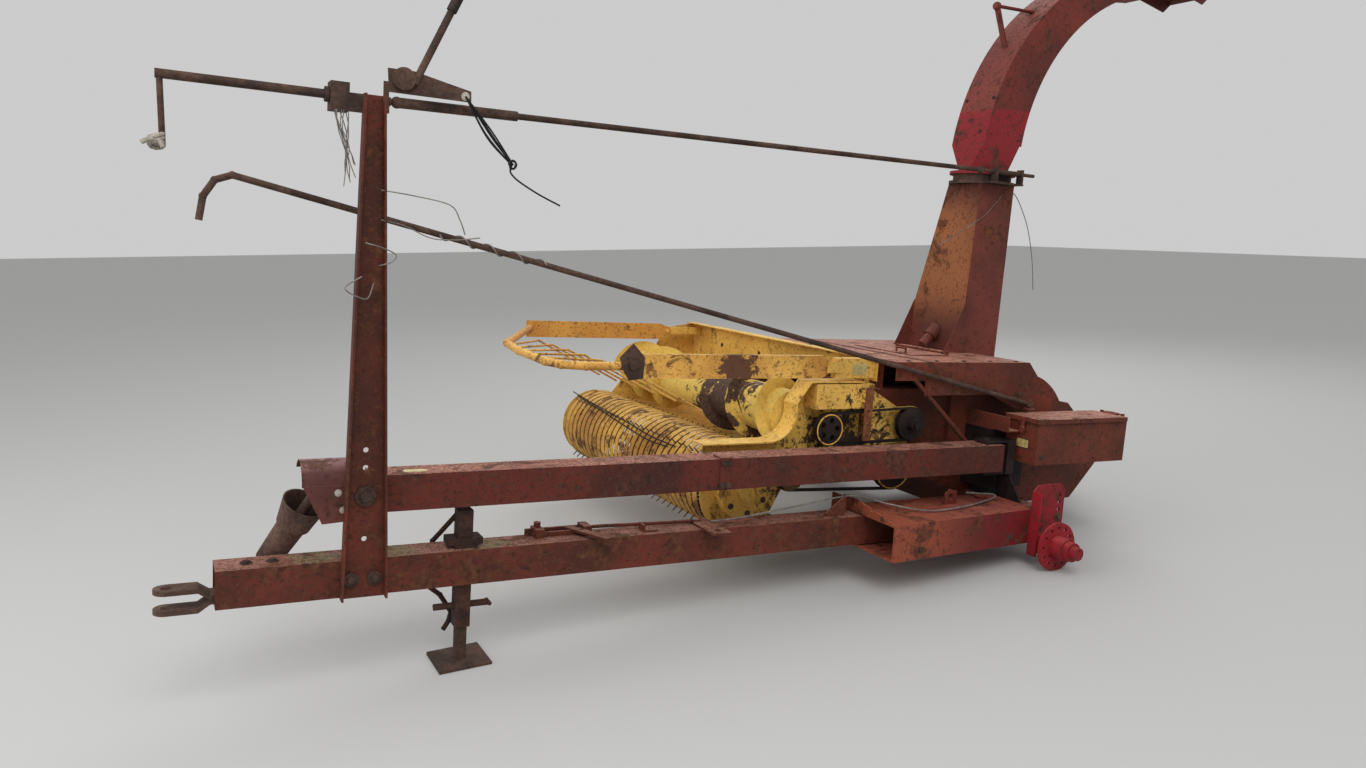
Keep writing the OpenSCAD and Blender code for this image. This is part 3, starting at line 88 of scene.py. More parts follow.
def darker(colour, share):
    return tuple(share * c for c in colour[:3]) + (1.0,)


class Shader:
    """A node tree with short ways to add and join nodes"""

    def __init__(self, name):
        self.material = bpy.data.materials.new(name)
        self.material.use_nodes = True
        self.tree = self.material.node_tree
        self.tree.nodes.clear()
        self.out = self.add("ShaderNodeOutputMaterial")
        self.bsdf = self.add("ShaderNodeBsdfPrincipled")
        self.link(self.bsdf.outputs[0], self.out.inputs[0])
        coords = self.add("ShaderNodeTexCoord")
        self.coords = coords.outputs["Object"]
        self.normal = self.split(coords.outputs["Normal"])
        self.place = self.split(self.coords)

    def add(self, kind, **values):
        node = self.tree.nodes.new(kind)
        for key, value in values.items():
            setattr(node, key, value)
        return node

    def link(self, a, b):
        self.tree.links.new(a, b)

    def split(self, vector):
        node = self.add("ShaderNodeSeparateXYZ")
        self.link(vector, node.inputs[0])
        return node.outputs

    def noise(self, scale, detail=5.0, rough=0.6, stretch=(1, 1, 1), shift=0.0, warp=0.0):
        """Noise about 0.5, over coordinates that may be stretched"""
        place = self.add("ShaderNodeMapping")
        place.inputs["Scale"].default_value = stretch
        place.inputs["Location"].default_value = (shift, shift * 1.7, -shift)
        self.link(self.coords, place.inputs["Vector"])
        node = self.add("ShaderNodeTexNoise")
        node.inputs["Scale"].default_value = scale
        node.inputs["Detail"].default_value = detail
        node.inputs["Roughness"].default_value = rough
        node.inputs["Distortion"].default_value = warp
        self.link(place.outputs[0], node.inputs["Vector"])
        return node.outputs["Fac"]

    def ramp(self, value, low, high, a=0.0, b=1.0):
        node = self.add("ShaderNodeMapRange", clamp=True)
        node.interpolation_type = "SMOOTHSTEP"
        for key, number in (("From Min", low), ("From Max", high), ("To Min", a), ("To Max", b)):
            node.inputs[key].default_value = number
        self.link(value, node.inputs["Value"])
        return node.outputs[0]

    def math(self, kind, a, b, clamp=True):
        node = self.add("ShaderNodeMath", operation=kind)
        node.use_clamp = clamp
        for socket, value in zip(node.inputs, (a, b)):
            if isinstance(value, (int, float)):
                socket.default_value = value
            else:
                self.link(value, socket)
        return node.outputs[0]

    def mix(self, factor, a, b):
        node = self.add("ShaderNodeMix", data_type="RGBA")
        for socket, value in ((node.inputs[0], factor), (node.inputs[6], a), (node.inputs[7], b)):
            if isinstance(value, (int, float, tuple)):
                socket.default_value = value
            else:
                self.link(value, socket)
        return node.outputs[2]

    def facing_up(self):
        """1 on faces that look up, 0 on the others"""
        return self.ramp(self.normal["Z"], 0.55, 0.95)

    def facing_front(self):
        """1 on faces that look forward, 0 on the others"""
        return self.ramp(self.normal["X"], 0.45, 0.8)

    def blot(self, centre, radius, seed=0.0):
        """1 in a ragged patch round a point of the machine's own frame"""
        node = self.add("ShaderNodeVectorMath", operation="DISTANCE")
        node.inputs[1].default_value = at(*centre)
        self.link(self.coords, node.inputs[0])
        ragged = self.ramp(self.noise(22, 7, 0.75, shift=seed), 0.3, 0.7, -0.8 * radius, 0.8 * radius)
        reach = self.math("ADD", node.outputs["Value"], ragged, False)
        return self.ramp(reach, 0.7 * radius, radius, 1.0, 0.0)

    def finish(self, colour, rough, bump, bump_height, metal=0.0):
        self.link(colour, self.bsdf.inputs["Base Color"])
        if isinstance(rough, (int, float)):
            self.bsdf.inputs["Roughness"].default_value = rough
        else:
            self.link(rough, self.bsdf.inputs["Roughness"])
        self.bsdf.inputs["Metallic"].default_value = metal
        self.bsdf.inputs["Specular IOR Level"].default_value = 0.3
        node = self.add("ShaderNodeBump")
        node.inputs["Distance"].default_value = bump_height
        node.inputs["Strength"].default_value = 0.6
        self.link(bump, node.inputs["Height"])
        self.link(node.outputs[0], self.bsdf.inputs["Normal"])
        return self.material


def worn_paint(name, base, dark, faded_and_lit, rust, rust_from=0.56, seed=0.0, rough=0.66, top_fade_and_light=0.6,
               specks=0.75, grains_from=0.56, tint=None):
    """Old paint: uneven colour, paler upper faces (sun-faded paint, partly a painted highlight where light
    falls from above), rust that breaks through, dark specks and grime.

    tint takes the shader and the paint's colour and gives it back changed, before the rust
    """
    s = Shader(name)
    broad = s.noise(2.6, 4, 0.6, shift=seed)
    fine = s.noise(38, 6, 0.7, shift=seed + 3)
    colour = s.mix(s.ramp(broad, 0.35, 0.66), base, dark)
    colour = s.mix(s.math("MULTIPLY", s.ramp(fine, 0.5, 0.72), 0.5), colour, dark)
    uneven = s.ramp(s.noise(9, 6, 0.7, shift=seed + 5), 0.3, 0.7, 0.45, 1.0)
    # Upward faces lean to the paler colour: partly sun fading, partly a painted highlight from light above
    fade_and_light = s.math("MULTIPLY", s.facing_up(), uneven)
    colour = s.mix(s.math("MULTIPLY", fade_and_light, top_fade_and_light), colour, faded_and_lit)
    if tint:
        colour = tint(s, colour)
    breaks = s.noise(7.5, 9, 0.72, shift=seed + 8, warp=0.4)
    patches = s.ramp(breaks, rust_from, rust_from + 0.06)
    grains = s.ramp(s.noise(88, 5, 0.65, shift=seed + 11), grains_from, grains_from + 0.08)
    small = s.ramp(s.noise(30, 6, 0.7, shift=seed + 13), 0.58, 0.63)
    spotted = s.math("MULTIPLY", s.math("MAXIMUM", grains, small), specks)
    rusty = s.math("MAXIMUM", patches, spotted)
    rust_colour = s.mix(s.ramp(fine, 0.35, 0.65), rust, darker(rust, 0.35))
    colour = s.mix(s.math("MULTIPLY", rusty, 0.88), colour, rust_colour)
    pits = s.ramp(s.noise(34, 2, 0.5, stretch=(1, 1, 1.3), shift=seed + 17), 0.655, 0.68)
    colour = s.mix(s.math("MULTIPLY", pits, 0.8 * specks), colour, darker(rust, 0.22))
    roughness = s.math("ADD", s.math("MULTIPLY", rusty, 0.22), rough)
    height = s.math("ADD", s.math("MULTIPLY", rusty, 0.5), s.math("MULTIPLY", fine, 0.3))
    return s.finish(colour, roughness, height, 0.002)


def rusted_steel(name, light, dark, seed=0.0, rough=0.8, metal=0.15):
    """Bare steel with brown rust in streaks and grains"""
    s = Shader(name)
    broad = s.noise(6, 6, 0.7, shift=seed)
    grain = s.noise(70, 6, 0.7, shift=seed + 2)
    colour = s.mix(s.ramp(broad, 0.36, 0.64), light, dark)
    colour = s.mix(s.math("MULTIPLY", s.ramp(grain, 0.42, 0.66), 0.6), colour, darker(dark, 0.5))
    return s.finish(colour, rough, grain, 0.0015, metal)


def auger_finish(name, paint, bare, middle_y, half, seed=0.0):
    """The auger: yellow at its ends, worn through to brown steel along its middle"""
    s = Shader(name)
    away = s.math("ABSOLUTE", s.math("ADD", s.place["Y"], -middle_y, False), 0.0, False)
    ragged = s.ramp(s.noise(9, 8, 0.7, shift=seed, warp=0.6), 0.3, 0.7, -0.22, 0.22)
    painted = s.ramp(s.math("ADD", away, ragged, False), half - 0.03, half + 0.03)
    fine = s.noise(60, 6, 0.7, shift=seed + 1)
    yellow = s.mix(s.ramp(fine, 0.45, 0.7), paint, darker(paint, 0.7))
    brown = s.mix(s.ramp(fine, 0.35, 0.65), bare, darker(bare, 0.4))
    return s.finish(s.mix(painted, brown, yellow), 0.6, fine, 0.001)


def moss(s, colour):
    """Green-grey moss on the tongue's top, in three places"""
    for i, x in enumerate((2.58, 3.16, 2.91)):
        patch = s.math("MULTIPLY", s.blot((x, -0.35, 0.132), 0.09, 3.0 * i), s.facing_up())
        colour = s.mix(s.math("MULTIPLY", patch, 0.7), colour, srgb(112, 112, 72))
    return colour


def pocket_wear(s, colour):
    """Orange-brown at the pocket's mouth, deep crimson by the hub"""
    mouth, hub = at(0.80, 0, 0)[0], at(0.25, 0, 0)[0]
    return s.mix(s.ramp(s.place["X"], hub, mouth, 0.0, 0.85), colour, srgb(148, 76, 52))


def chute_wear_and_highlight(s, colour):
    """The chute's forward faces are painted lighter orange-brown, most of all in the middle of its height:
    partly weathering, partly a painted highlight
    """
    low, high = at(0, 0, 0.85)[2], at(0, 0, 1.68)[2]
    above = s.ramp(s.place["Z"], low, low + 0.3)
    below = s.ramp(s.place["Z"], high, high - 0.25)
    middle = s.math("MULTIPLY", above, below)
    # Forward faces lighter orange-brown: partly weathering, partly a painted highlight
    return s.mix(s.math("MULTIPLY", s.math("MULTIPLY", middle, s.facing_front()), 0.7), colour,
                 srgb(168, 106, 62))


def spout_band_and_highlight(s, colour):
    """A band of fresher paint round the spout's foot, and a painted highlight that makes its forward faces
    paler
    """
    seam = at(-0.3, 0, 2.05)[2]
    fresh = s.ramp(s.place["Z"], seam - 0.01, seam + 0.01, 1.0, 0.0)
    # Painted highlight: forward faces made paler
    colour = s.mix(s.math("MULTIPLY", s.facing_front(), 0.35), colour, srgb(150, 78, 70))
    return s.mix(s.math("MULTIPLY", fresh, 0.8), colour, srgb(142, 24, 38))


def grease(s, colour):
    """Black grease thrown about the belts, and brown grime low on the side"""
    colour = s.mix(s.blot((0.80, -0.56, 0.40), 0.2, 2.0), colour, srgb(58, 46, 34))
    return s.mix(s.blot((1.12, -0.56, 0.25), 0.15, 6.0), colour, srgb(96, 74, 46))


def arm_wear(s, colour):
    """Orange rust on the guard's far arm, and one brown patch on its near arm"""
    far = at(0, -1.25, 0)[1]
    colour = s.mix(s.ramp(s.place["Y"], far - 0.1, far + 0.1, 0.6, 0.0), colour, srgb(196, 132, 58))
    return s.mix(s.blot((1.45, -0.507, 0.765), 0.1, 5.0), colour, srgb(96, 62, 42))


RED = worn_paint("red paint", base=srgb(108, 44, 31), dark=srgb(70, 32, 24), faded_and_lit=srgb(176, 128, 112),
                 rust=srgb(104, 64, 44), rust_from=0.525, seed=0.0, top_fade_and_light=0.75, specks=0.85,
                 grains_from=0.51, tint=moss)
BEAM_RED = worn_paint("beam's red paint", base=srgb(100, 36, 26), dark=srgb(66, 28, 22),
                      faded_and_lit=srgb(190, 134, 114), rust=srgb(92, 58, 46), rust_from=0.535, seed=3.0,
                      top_fade_and_light=0.85, specks=0.85, grains_from=0.5)
HOOD_RED = worn_paint("hood's red paint", base=srgb(118, 50, 33), dark=srgb(80, 37, 27),
                      faded_and_lit=srgb(194, 138, 116), rust=srgb(104, 60, 42), rust_from=0.54, seed=4.0,
                      top_fade_and_light=0.9, specks=0.8, grains_from=0.52)
POCKET_RED = worn_paint("pocket's red paint", base=srgb(122, 20, 28), dark=srgb(86, 19, 24),
                        faded_and_lit=srgb(172, 102, 84), rust=srgb(104, 60, 42), rust_from=0.54, seed=5.0,
                        top_fade_and_light=0.7, tint=pocket_wear)
CHUTE_RED = worn_paint("chute's red paint", base=srgb(116, 54, 44), dark=srgb(82, 40, 35),
                       faded_and_lit=srgb(168, 112, 94), rust=srgb(110, 62, 42), rust_from=0.55, seed=9.0,
                       top_fade_and_light=0.5, tint=chute_wear_and_highlight)
SPOUT_RED = worn_paint("spout's red paint", base=srgb(118, 45, 36), dark=srgb(84, 35, 30),
                       faded_and_lit=srgb(170, 104, 90), rust=srgb(96, 58, 44), rust_from=0.53, seed=11.0,
                       top_fade_and_light=0.5, specks=0.8, grains_from=0.53, tint=spout_band_and_highlight)
BRIGHT = worn_paint("bright red paint", base=srgb(150, 24, 36), dark=srgb(106, 22, 29),
                    faded_and_lit=srgb(172, 84, 84), rust=srgb(98, 56, 42), rust_from=0.55, seed=2.0,
                    top_fade_and_light=0.5)
SHIELD_RED = worn_paint("shield's red paint", base=srgb(106, 56, 50), dark=srgb(74, 40, 37),
                        faded_and_lit=srgb(174, 136, 136), rust=srgb(100, 64, 50), rust_from=0.54, seed=7.0,
                        top_fade_and_light=0.8)
YELLOW = worn_paint("yellow paint", base=srgb(234, 188, 90), dark=srgb(200, 152, 68),
                    faded_and_lit=srgb(244, 210, 126), rust=srgb(120, 78, 48), rust_from=0.58, seed=1.0,
                    specks=0.6, tint=grease)
GUARD_YELLOW = worn_paint("guard's yellow paint", base=srgb(234, 182, 88), dark=srgb(194, 138, 62),
                          faded_and_lit=srgb(244, 206, 126), rust=srgb(114, 72, 46), rust_from=0.565, seed=8.0,
                          specks=0.7, tint=arm_wear)
BAND_YELLOW = worn_paint("bands' yellow paint", base=srgb(212, 162, 72), dark=srgb(166, 116, 50),
                         faded_and_lit=srgb(224, 184, 104), rust=srgb(112, 70, 44), rust_from=0.535, seed=6.0,
                         specks=0.7)
STEEL = rusted_steel("rusted steel", light=srgb(96, 72, 60), dark=srgb(58, 44, 38), seed=0.0)
STEEL_2 = rusted_steel("rusted steel, lighter", light=srgb(124, 98, 84), dark=srgb(78, 58, 48),
                       seed=5.0)
ORANGE_STEEL = rusted_steel("rusted strap", light=srgb(150, 88, 50), dark=srgb(96, 58, 40), seed=6.0)
JACK_STEEL = rusted_steel("jack, browner", light=srgb(82, 54, 44), dark=srgb(48, 34, 30), seed=9.0)
BELL_STEEL = rusted_steel("rusted guard tube", light=srgb(108, 82, 72), dark=srgb(70, 52, 46), seed=8.0,
                          rough=0.85, metal=0.0)
DARK = rusted_steel("dark greasy steel", light=srgb(54, 42, 38), dark=srgb(28, 23, 22), seed=2.0,
                    rough=0.6, metal=0.3)
# Painted shade: a dark colour for inner faces and undersides where shade falls
SHADE = rusted_steel("painted shade on inner faces", light=srgb(74, 58, 42), dark=srgb(40, 32, 26), seed=3.0,
                     rough=0.85, metal=0.0)
TYRE = rusted_steel("tyre rubber", light=srgb(62, 58, 54), dark=srgb(34, 32, 31), seed=7.0, rough=0.85,
                    metal=0.0)
WIRE = rusted_steel("galvanised wire", light=srgb(150, 144, 136), dark=srgb(104, 98, 92), seed=4.0,
                    rough=0.6, metal=0.3)
ROPE = rusted_steel("black rope", light=srgb(40, 38, 38), dark=srgb(24, 23, 23), seed=5.0, rough=0.9,
                    metal=0.0)
BARE_WHITE = rusted_steel("pale bolt", light=srgb(206, 200, 190), dark=srgb(160, 152, 142), seed=9.0,
                          rough=0.6, metal=0.1)
PLATE_FACE = rusted_steel("blank label", light=srgb(206, 186, 122), dark=srgb(180, 158, 100), seed=9.0,
                          rough=0.6, metal=0.0)
PLATE_EDGE = rusted_steel("label's border", light=srgb(70, 58, 46), dark=srgb(48, 40, 34), seed=9.0,
                          rough=0.7, metal=0.0)
TAPE = rusted_steel("pale tape", light=srgb(222, 210, 160), dark=srgb(196, 182, 136), seed=1.0,
                    rough=0.6, metal=0.0)
CLOTH = rusted_steel("pale rag", light=srgb(196, 188, 176), dark=srgb(140, 130, 120), seed=2.0,
                     rough=0.95, metal=0.0)
AUGER = auger_finish("auger, worn", paint=srgb(224, 188, 92), bare=srgb(92, 66, 52), middle_y=-0.01,
                     half=0.2)

PAINT = {
    RED: ["tongue", "post", "axle_beam"],
    BEAM_RED: ["driveline_beam"],
    HOOD_RED: ["cutter_housing", "feed_housing", "rear_pan", "hood", "access_cover", "tool_box",
               "tool_box_lid"],
    SHIELD_RED: ["driveline_shield"],
    CHUTE_RED: ["chute"],
    SPOUT_RED: ["spout", "spout_flap"],
    POCKET_RED: ["tongue_pocket"],
    BRIGHT: ["left_bracket", "right_bracket", "left_hub"],
    YELLOW: ["header_frame", "header_sides", "header_drive", "right_rim"],
    GUARD_YELLOW: ["wind_guard"],
    AUGER: ["cross_auger"],
    BAND_YELLOW: ["stripper_bands"],
    STEEL: ["spout_turntable", "spout_crank", "crank_shaft", "crank_sleeve", "shift_rod", "rope_lever",
            "jack_leg", "lift_rod"],
    STEEL_2: ["clevis", "pickup_reel"],
    DARK: ["gearbox", "drive_sheave", "lift_cylinder"],
    JACK_STEEL: ["jack_sleeve"],
    TYRE: ["right_tyre"],
}
SMOOTH_BELOW = math.radians(32)


def paint_nodes():
    for material, names in PAINT.items():
        for name in names:
            mesh = NODES[name].data
            mesh.materials.clear()
            mesh.materials.append(material)
            for face in mesh.polygons:
                face.use_smooth = True
            mesh.set_sharp_from_angle(angle=SMOOTH_BELOW)


def second_paint(node, material, test):
    """Gives another material to the faces whose centre and normal pass a test in the machine's own frame"""
    mesh = NODES[node].data
    index = len(mesh.materials)
    mesh.materials.append(material)
    back = TO_ROW.inverted()
    turn = back.to_3x3()
    for face in mesh.polygons:
        if test(back @ face.center, turn @ face.normal):
            face.material_index = index


# Places in the machine's own frame, as in the part's source
REEL = (1.345, 0.200)
REEL_HUB_R = 0.13
UPPER_SHEAVE = (0.953, 0.474)
LOWER_SHEAVE = (0.546, 0.279)
FRONT_SHEAVE = (1.125, 0.265)
FRONT_HUB_R = 0.062
BELTS_BEYOND_Y = -0.536
DRIVE_FROM_Y = BELTS_BEYOND_Y - 0.04
DRIVE_TO_Y = BELTS_BEYOND_Y + 0.06
GEAR_CASE_LOW = 0.56
TONGUE_FACE = -0.2845
SHEET_GAP = 0.012

# Boxes round patches of other paint, by their low and high corners
FAR = math.inf
STRAP = ((0.745, -0.475, 0.42), (0.800, -0.464, 0.67))
GUARD_CLAMP = ((1.88, -0.5225, 0.69), (2.0, FAR, 0.86))
GUIDE_BLOCK = ((3.038, -FAR, 1.55), (FAR, FAR, FAR))
LEVER_GRIP = ((-FAR, -FAR, 1.95), (FAR, FAR, FAR))
HEADER_PLATE = ((0.763, -0.5155, -FAR), (0.852, -0.5125, FAR))
BELL_TUBE = ((3.0, -FAR, -FAR), (FAR, TONGUE_FACE - SHEET_GAP, 0.37))


def inside(box):
    """A test that a face's centre lies in a box"""
    low, high = box
    return lambda point, normal: all(a < c < b for a, c, b in zip(low, point, high))


def off_axis(point, axis):
    return math.hypot(point.x - axis[0], point.z - axis[1])


def greasy_drive(point, normal):
    """The belts and the dark sheaves, but not the sheaves' rims, their yellow hubs or the gear case"""
    if point.y < DRIVE_FROM_Y or point.y > DRIVE_TO_Y:
        return False
    if off_axis(point, REEL) < REEL_HUB_R or point.z > GEAR_CASE_LOW:
        return False
    return off_axis(point, FRONT_SHEAVE) > FRONT_HUB_R


def header_plate(point, normal):
    """The blank plate on the block that carries the guard's near arm"""
    return normal.y > 0.5 and inside(HEADER_PLATE)(point, normal)


def inner_band(point, normal):
    """The faces of the stripper bands that look at the reel's axis, which take painted shade"""
    inward = Vector((REEL[0] - point.x, 0, REEL[1] - point.z))
    return normal.dot(inward.normalized()) > 0.3


def inner_hood(point, normal):
    """The underside of the hood, darkened with painted shade"""
    return normal.z < -0.5


paint_nodes()
second_paint("header_drive", DARK, greasy_drive)
second_paint("header_drive", ORANGE_STEEL, inside(STRAP))
second_paint("header_frame", PLATE_FACE, header_plate)
second_paint("wind_guard", STEEL, inside(GUARD_CLAMP))
second_paint("post", STEEL, inside(GUIDE_BLOCK))
second_paint("rope_lever", DARK, inside(LEVER_GRIP))
# Painted shade on the bands' inward faces, inside the reel
second_paint("stripper_bands", SHADE, inner_band)
second_paint("driveline_shield", BELL_STEEL, inside(BELL_TUBE))
# Painted shade under the hood
second_paint("hood", SHADE, inner_hood)


# Small pieces
LEFT = (0, 1, 0)
RIGHT = (0, -1, 0)
UP = (0, 0, 1)
DOWN = (0, 0, -1)
BACK = (-1, 0, 0)
BLOCK_FACES = ((0, 1, 3, 2), (4, 6, 7, 5), (0, 4, 5, 1), (2, 3, 7, 6), (0, 2, 6, 4), (1, 5, 7, 3))


def piece(name, verts, faces, material, body, smooth=False):
    """A mesh whose points are given in the machine's own frame"""
    mesh = bpy.data.meshes.new(name)
    mesh.from_pydata([at(*v) for v in verts], [], faces)
    mesh.validate()
    mesh.update()
    mesh.materials.append(material)
    if smooth:
        for face in mesh.polygons:
            face.use_smooth = True
        mesh.set_sharp_from_angle(angle=SMOOTH_BELOW)
    thing = bpy.data.objects.new(name, mesh)
    bpy.context.scene.collection.objects.link(thing)
    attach(thing, body)
    return thing


def axes_of(direction):
    """A direction made one unit long, and two more at right angles to it and to each other"""
    d = Vector(direction).normalized()
    side = d.cross(Vector(UP))
    if side.length < 1e-3:
        side = d.cross(Vector(LEFT))
    side.normalize()
    return d, side, d.cross(side)


BOLT_SINK = 0.001
HEAD_SHARE = 0.75
WASHER_SHARE = 1.7
WASHER_T = 0.0035
WASHER_SIDES = 20


class Parts:
    """Collects the points and faces of several closed shapes into one mesh"""

    def __init__(self):
        self.verts = []
        self.faces = []

    def prism(self, centre, direction, r, length, sides, turn=0.0):
        """A round or hexagonal prism that starts at centre and runs along direction"""
        d, u, v = axes_of(direction)
        base = len(self.verts)
        for end in (0.0, length):
            for i in range(sides):
                a = turn + math.tau * i / sides
                self.verts.append(tuple(Vector(centre) + d * end + (u * math.cos(a) + v * math.sin(a)) * r))
        for i in range(sides):
            j = (i + 1) % sides
            self.faces.append((base + i, base + j, base + sides + j, base + sides + i))
        self.faces.append(tuple(base + sides - 1 - i for i in range(sides)))
        self.faces.append(tuple(base + sides + i for i in range(sides)))

    def bolt(self, centre, direction, r):
        """A hexagon head on a washer, sunk a little into the face behind them"""
        d = Vector(direction).normalized()
        start = Vector(centre) - d * BOLT_SINK
        self.prism(start, d, r * WASHER_SHARE, WASHER_T, WASHER_SIDES)
        self.prism(start, d, r, BOLT_SINK + r * HEAD_SHARE, 6, draw.uniform(0, 1))

    def block(self, low, high):
        base = len(self.verts)
        for x in (low[0], high[0]):
            for y in (low[1], high[1]):
                for z in (low[2], high[2]):
                    self.verts.append((x, y, z))
        for f in BLOCK_FACES:
            self.faces.append(tuple(base + i for i in f))

    def tube(self, points, r, sides=10):
        """A round bar through points, capped at both ends"""
        base = len(self.verts)
        path = [Vector(p) for p in points]
        up = None
        for i, p in enumerate(path):
            ahead = path[min(i + 1, len(path) - 1)] - path[max(i - 1, 0)]
            ahead.normalize()
            if up is None:
                up = axes_of(ahead)[1]
            up = (up - ahead * up.dot(ahead)).normalized()
            side = ahead.cross(up)
            for k in range(sides):
                a = math.tau * k / sides
                self.verts.append(tuple(p + (up * math.cos(a) + side * math.sin(a)) * r))
        for i in range(len(path) - 1):
            for k in range(sides):
                m = (k + 1) % sides
                a, b = base + i * sides, base + (i + 1) * sides
                self.faces.append((a + k, a + m, b + m, b + k))
        last = base + (len(path) - 1) * sides
        self.faces.append(tuple(base + sides - 1 - k for k in range(sides)))
        self.faces.append(tuple(last + k for k in range(sides)))

    def make(self, name, material, body, smooth=False):
        return piece(name, self.verts, self.faces, material, body, smooth)


class Surface:
    """Finds where a line meets a CAD node, so that a small piece sits on it"""

    def __init__(self, node):
        mesh = NODES[node].data
        points = [v.co for v in mesh.vertices]
        self.tree = BVHTree.FromPolygons(points, [tuple(p.vertices) for p in mesh.polygons])
        self.back = TO_ROW.inverted()

    def under(self, start, way):
        """The first point that a line from start meets, in the machine's own frame"""
        turn = TO_ROW.to_3x3()
        hit = self.tree.ray_cast(at(*start), turn @ Vector(way))[0]
        return self.back @ hit if hit else None


def seated_bolts(name, node, body, places, way, r, material=STEEL):
    """Bolt heads on a node's faces, found along one direction"""
    surface = Surface(node)
    bolts = Parts()
    for place in places:
        spot = surface.under(place, way)
        if spot:
            bolts.bolt(spot, -Vector(way), r)
    bolts.make(name, material, body, True)


HEX_START = 0.4
END_HOUSING_R = 0.095
OUTSIDE = 0.5
ABOVE_HOOD = 1.2
BESIDE_HEADER = 0.2


def ring_places(axis, r, y, count, start):
    """Points on a ring round an axis across the machine"""
    return [(axis[0] + r * math.cos(a), y, axis[1] + r * math.sin(a))
            for a in (start + math.tau * i / count for i in range(count))]


def tongue_bolts():
    seated_bolts("tongue_side_bolts", "post", "tongue", [(x, 0, 0.069) for x in (2.973, 3.048)], RIGHT,
                 0.014)
    seated_bolts("post_top_bolt", "post", "tongue", [(3.008, 0, 0.3535)], RIGHT, 0.02)
    seated_bolts("tongue_top_bolts", "tongue", "tongue", [(x, -0.348, 0.3) for x in (3.365, 3.285)], DOWN,
                 0.012)
    seated_bolts("tongue_low_bolts", "tongue", "tongue", [(x, -0.33, -0.2) for x in (3.43, 3.37, 3.33)], UP,
                 0.014)
    seated_bolts("beam_side_bolts", "driveline_beam", "tongue",
                 [(x, 0, z) for x in (1.602, 1.628) for z in (0.31, 0.40)], RIGHT, 0.008)
    seated_bolts("shield_bolts", "driveline_shield", "tongue", [(3.093, 0, 0.366), (3.076, 0, 0.307)], RIGHT,
                 0.007, BARE_WHITE)


def base_bolts():
    seated_bolts("hub_bracket_bolts", "left_bracket", "base", [(x, OUTSIDE, 0.106) for x in (-0.11, 0.028)],
                 RIGHT, 0.013)
    seated_bolts("hood_top_bolts", "hood", "base",
                 [(x, -0.475, ABOVE_HOOD) for x in (-0.12, 0.05, 0.22, 0.39, 0.56)], DOWN, 0.007)
    seated_bolts("hood_side_bolts", "hood", "base", [(x, 0.2, 0.63) for x in (-0.14, 0.06, 0.26)], RIGHT,
                 0.007)
    seated_bolts("gusset_bolts", "chute", "base",
                 [(-0.22, y, 0.86) for y in (-0.9, -1.0, -1.14, -1.24)], BACK, 0.007)
    seated_bolts("pocket_bolts", "tongue_pocket", "base", [(x, OUTSIDE, 0.03) for x in (0.18, 0.75)], RIGHT,
                 0.009)
    seated_bolts("box_bolts", "tool_box", "base", [(x, OUTSIDE, 0.37) for x in (-0.59, -0.06)], RIGHT, 0.006)


def header_bolts():
    seated_bolts("end_housing_bolts", "header_drive", "header",
                 ring_places(REEL, END_HOUSING_R, BESIDE_HEADER, 6, HEX_START), RIGHT, 0.008)
    seated_bolts("side_panel_bolts", "header_sides", "header",
                 [(x, BESIDE_HEADER, 0.64) for x in (0.70, 0.86, 1.02)], RIGHT, 0.006)
    seated_bolts("back_wall_bolts", "header_frame", "header",
                 [(2.0, y, 0.70) for y in (-0.75, -1.1, -1.5, -1.9)], BACK, 0.007)


def spout_bolts():
    seated_bolts("spout_band_bolts", "spout", "spout", [(0.5, y, 1.93) for y in (-0.90, -1.04)], BACK, 0.007)
    seated_bolts("spout_seam_bolts", "spout", "spout", [(0.5, y, 2.1) for y in (-0.87, -1.06)], BACK, 0.006)


def strand(name, points, r, material, body, steps=5):
    """A thin wire through points, smoothed by a curve through them"""
    path = [Vector(p) for p in points]
    ends = [path[0] * 2 - path[1]] + path + [path[-1] * 2 - path[-2]]
    line = Parts()
    smooth = []
    for a, b, c, d in zip(ends, ends[1:], ends[2:], ends[3:]):
        for i in range(steps):
            t = i / steps
            smooth.append(((b * 2) + (c - a) * t + (a * 2 - b * 5 + c * 4 - d) * t * t
                           + (b * 3 - a - c * 3 + d) * t ** 3) / 2)
    smooth.append(path[-1])
    line.tube(smooth, r, 6)
    line.make(name, material, body, True)


LATCH_CABLE = ((1.63, -0.345, 0.146), (1.501, -0.33, 0.156), (1.256, -0.33, 0.182), (0.971, -0.33, 0.214),
               (0.88, -0.315, 0.207), (0.746, -0.293, 0.172), (0.607, -0.2, 0.158), (0.374, -0.217, 0.158),
               (0.117, -0.301, 0.16), (0.1, -0.318, 0.172), (0.2, -0.305, 0.186), (0.3, -0.29, 0.2))
POST_WIRES = {
    "post_wire_upper": ((2.985, -0.25, 1.356), (2.881, -0.232, 1.345), (2.767, -0.232, 1.325),
                        (2.733, -0.232, 1.279), (2.714, -0.232, 1.232)),
    "post_wire_middle": ((2.983, -0.25, 1.262), (2.911, -0.232, 1.248), (2.829, -0.232, 1.215),
                         (2.747, -0.232, 1.213), (2.663, -0.232, 1.225)),
    "post_wire_lower": ((3.031, -0.24, 1.187), (2.978, -0.232, 1.174), (2.937, -0.232, 1.154),
                        (2.949, -0.232, 1.131), (2.985, -0.24, 1.117)),
    "post_wire_low": ((3.04, -0.24, 1.08), (3.092, -0.236, 1.042), (3.052, -0.232, 1.015),
                      (3.021, -0.232, 1.013), (3.003, -0.24, 1.061)),
}
ROPE_FROM = (2.712, -0.29, 1.684)
ROPE_TO = (2.544, -0.29, 1.478)
ROPE_STRANDS = 5
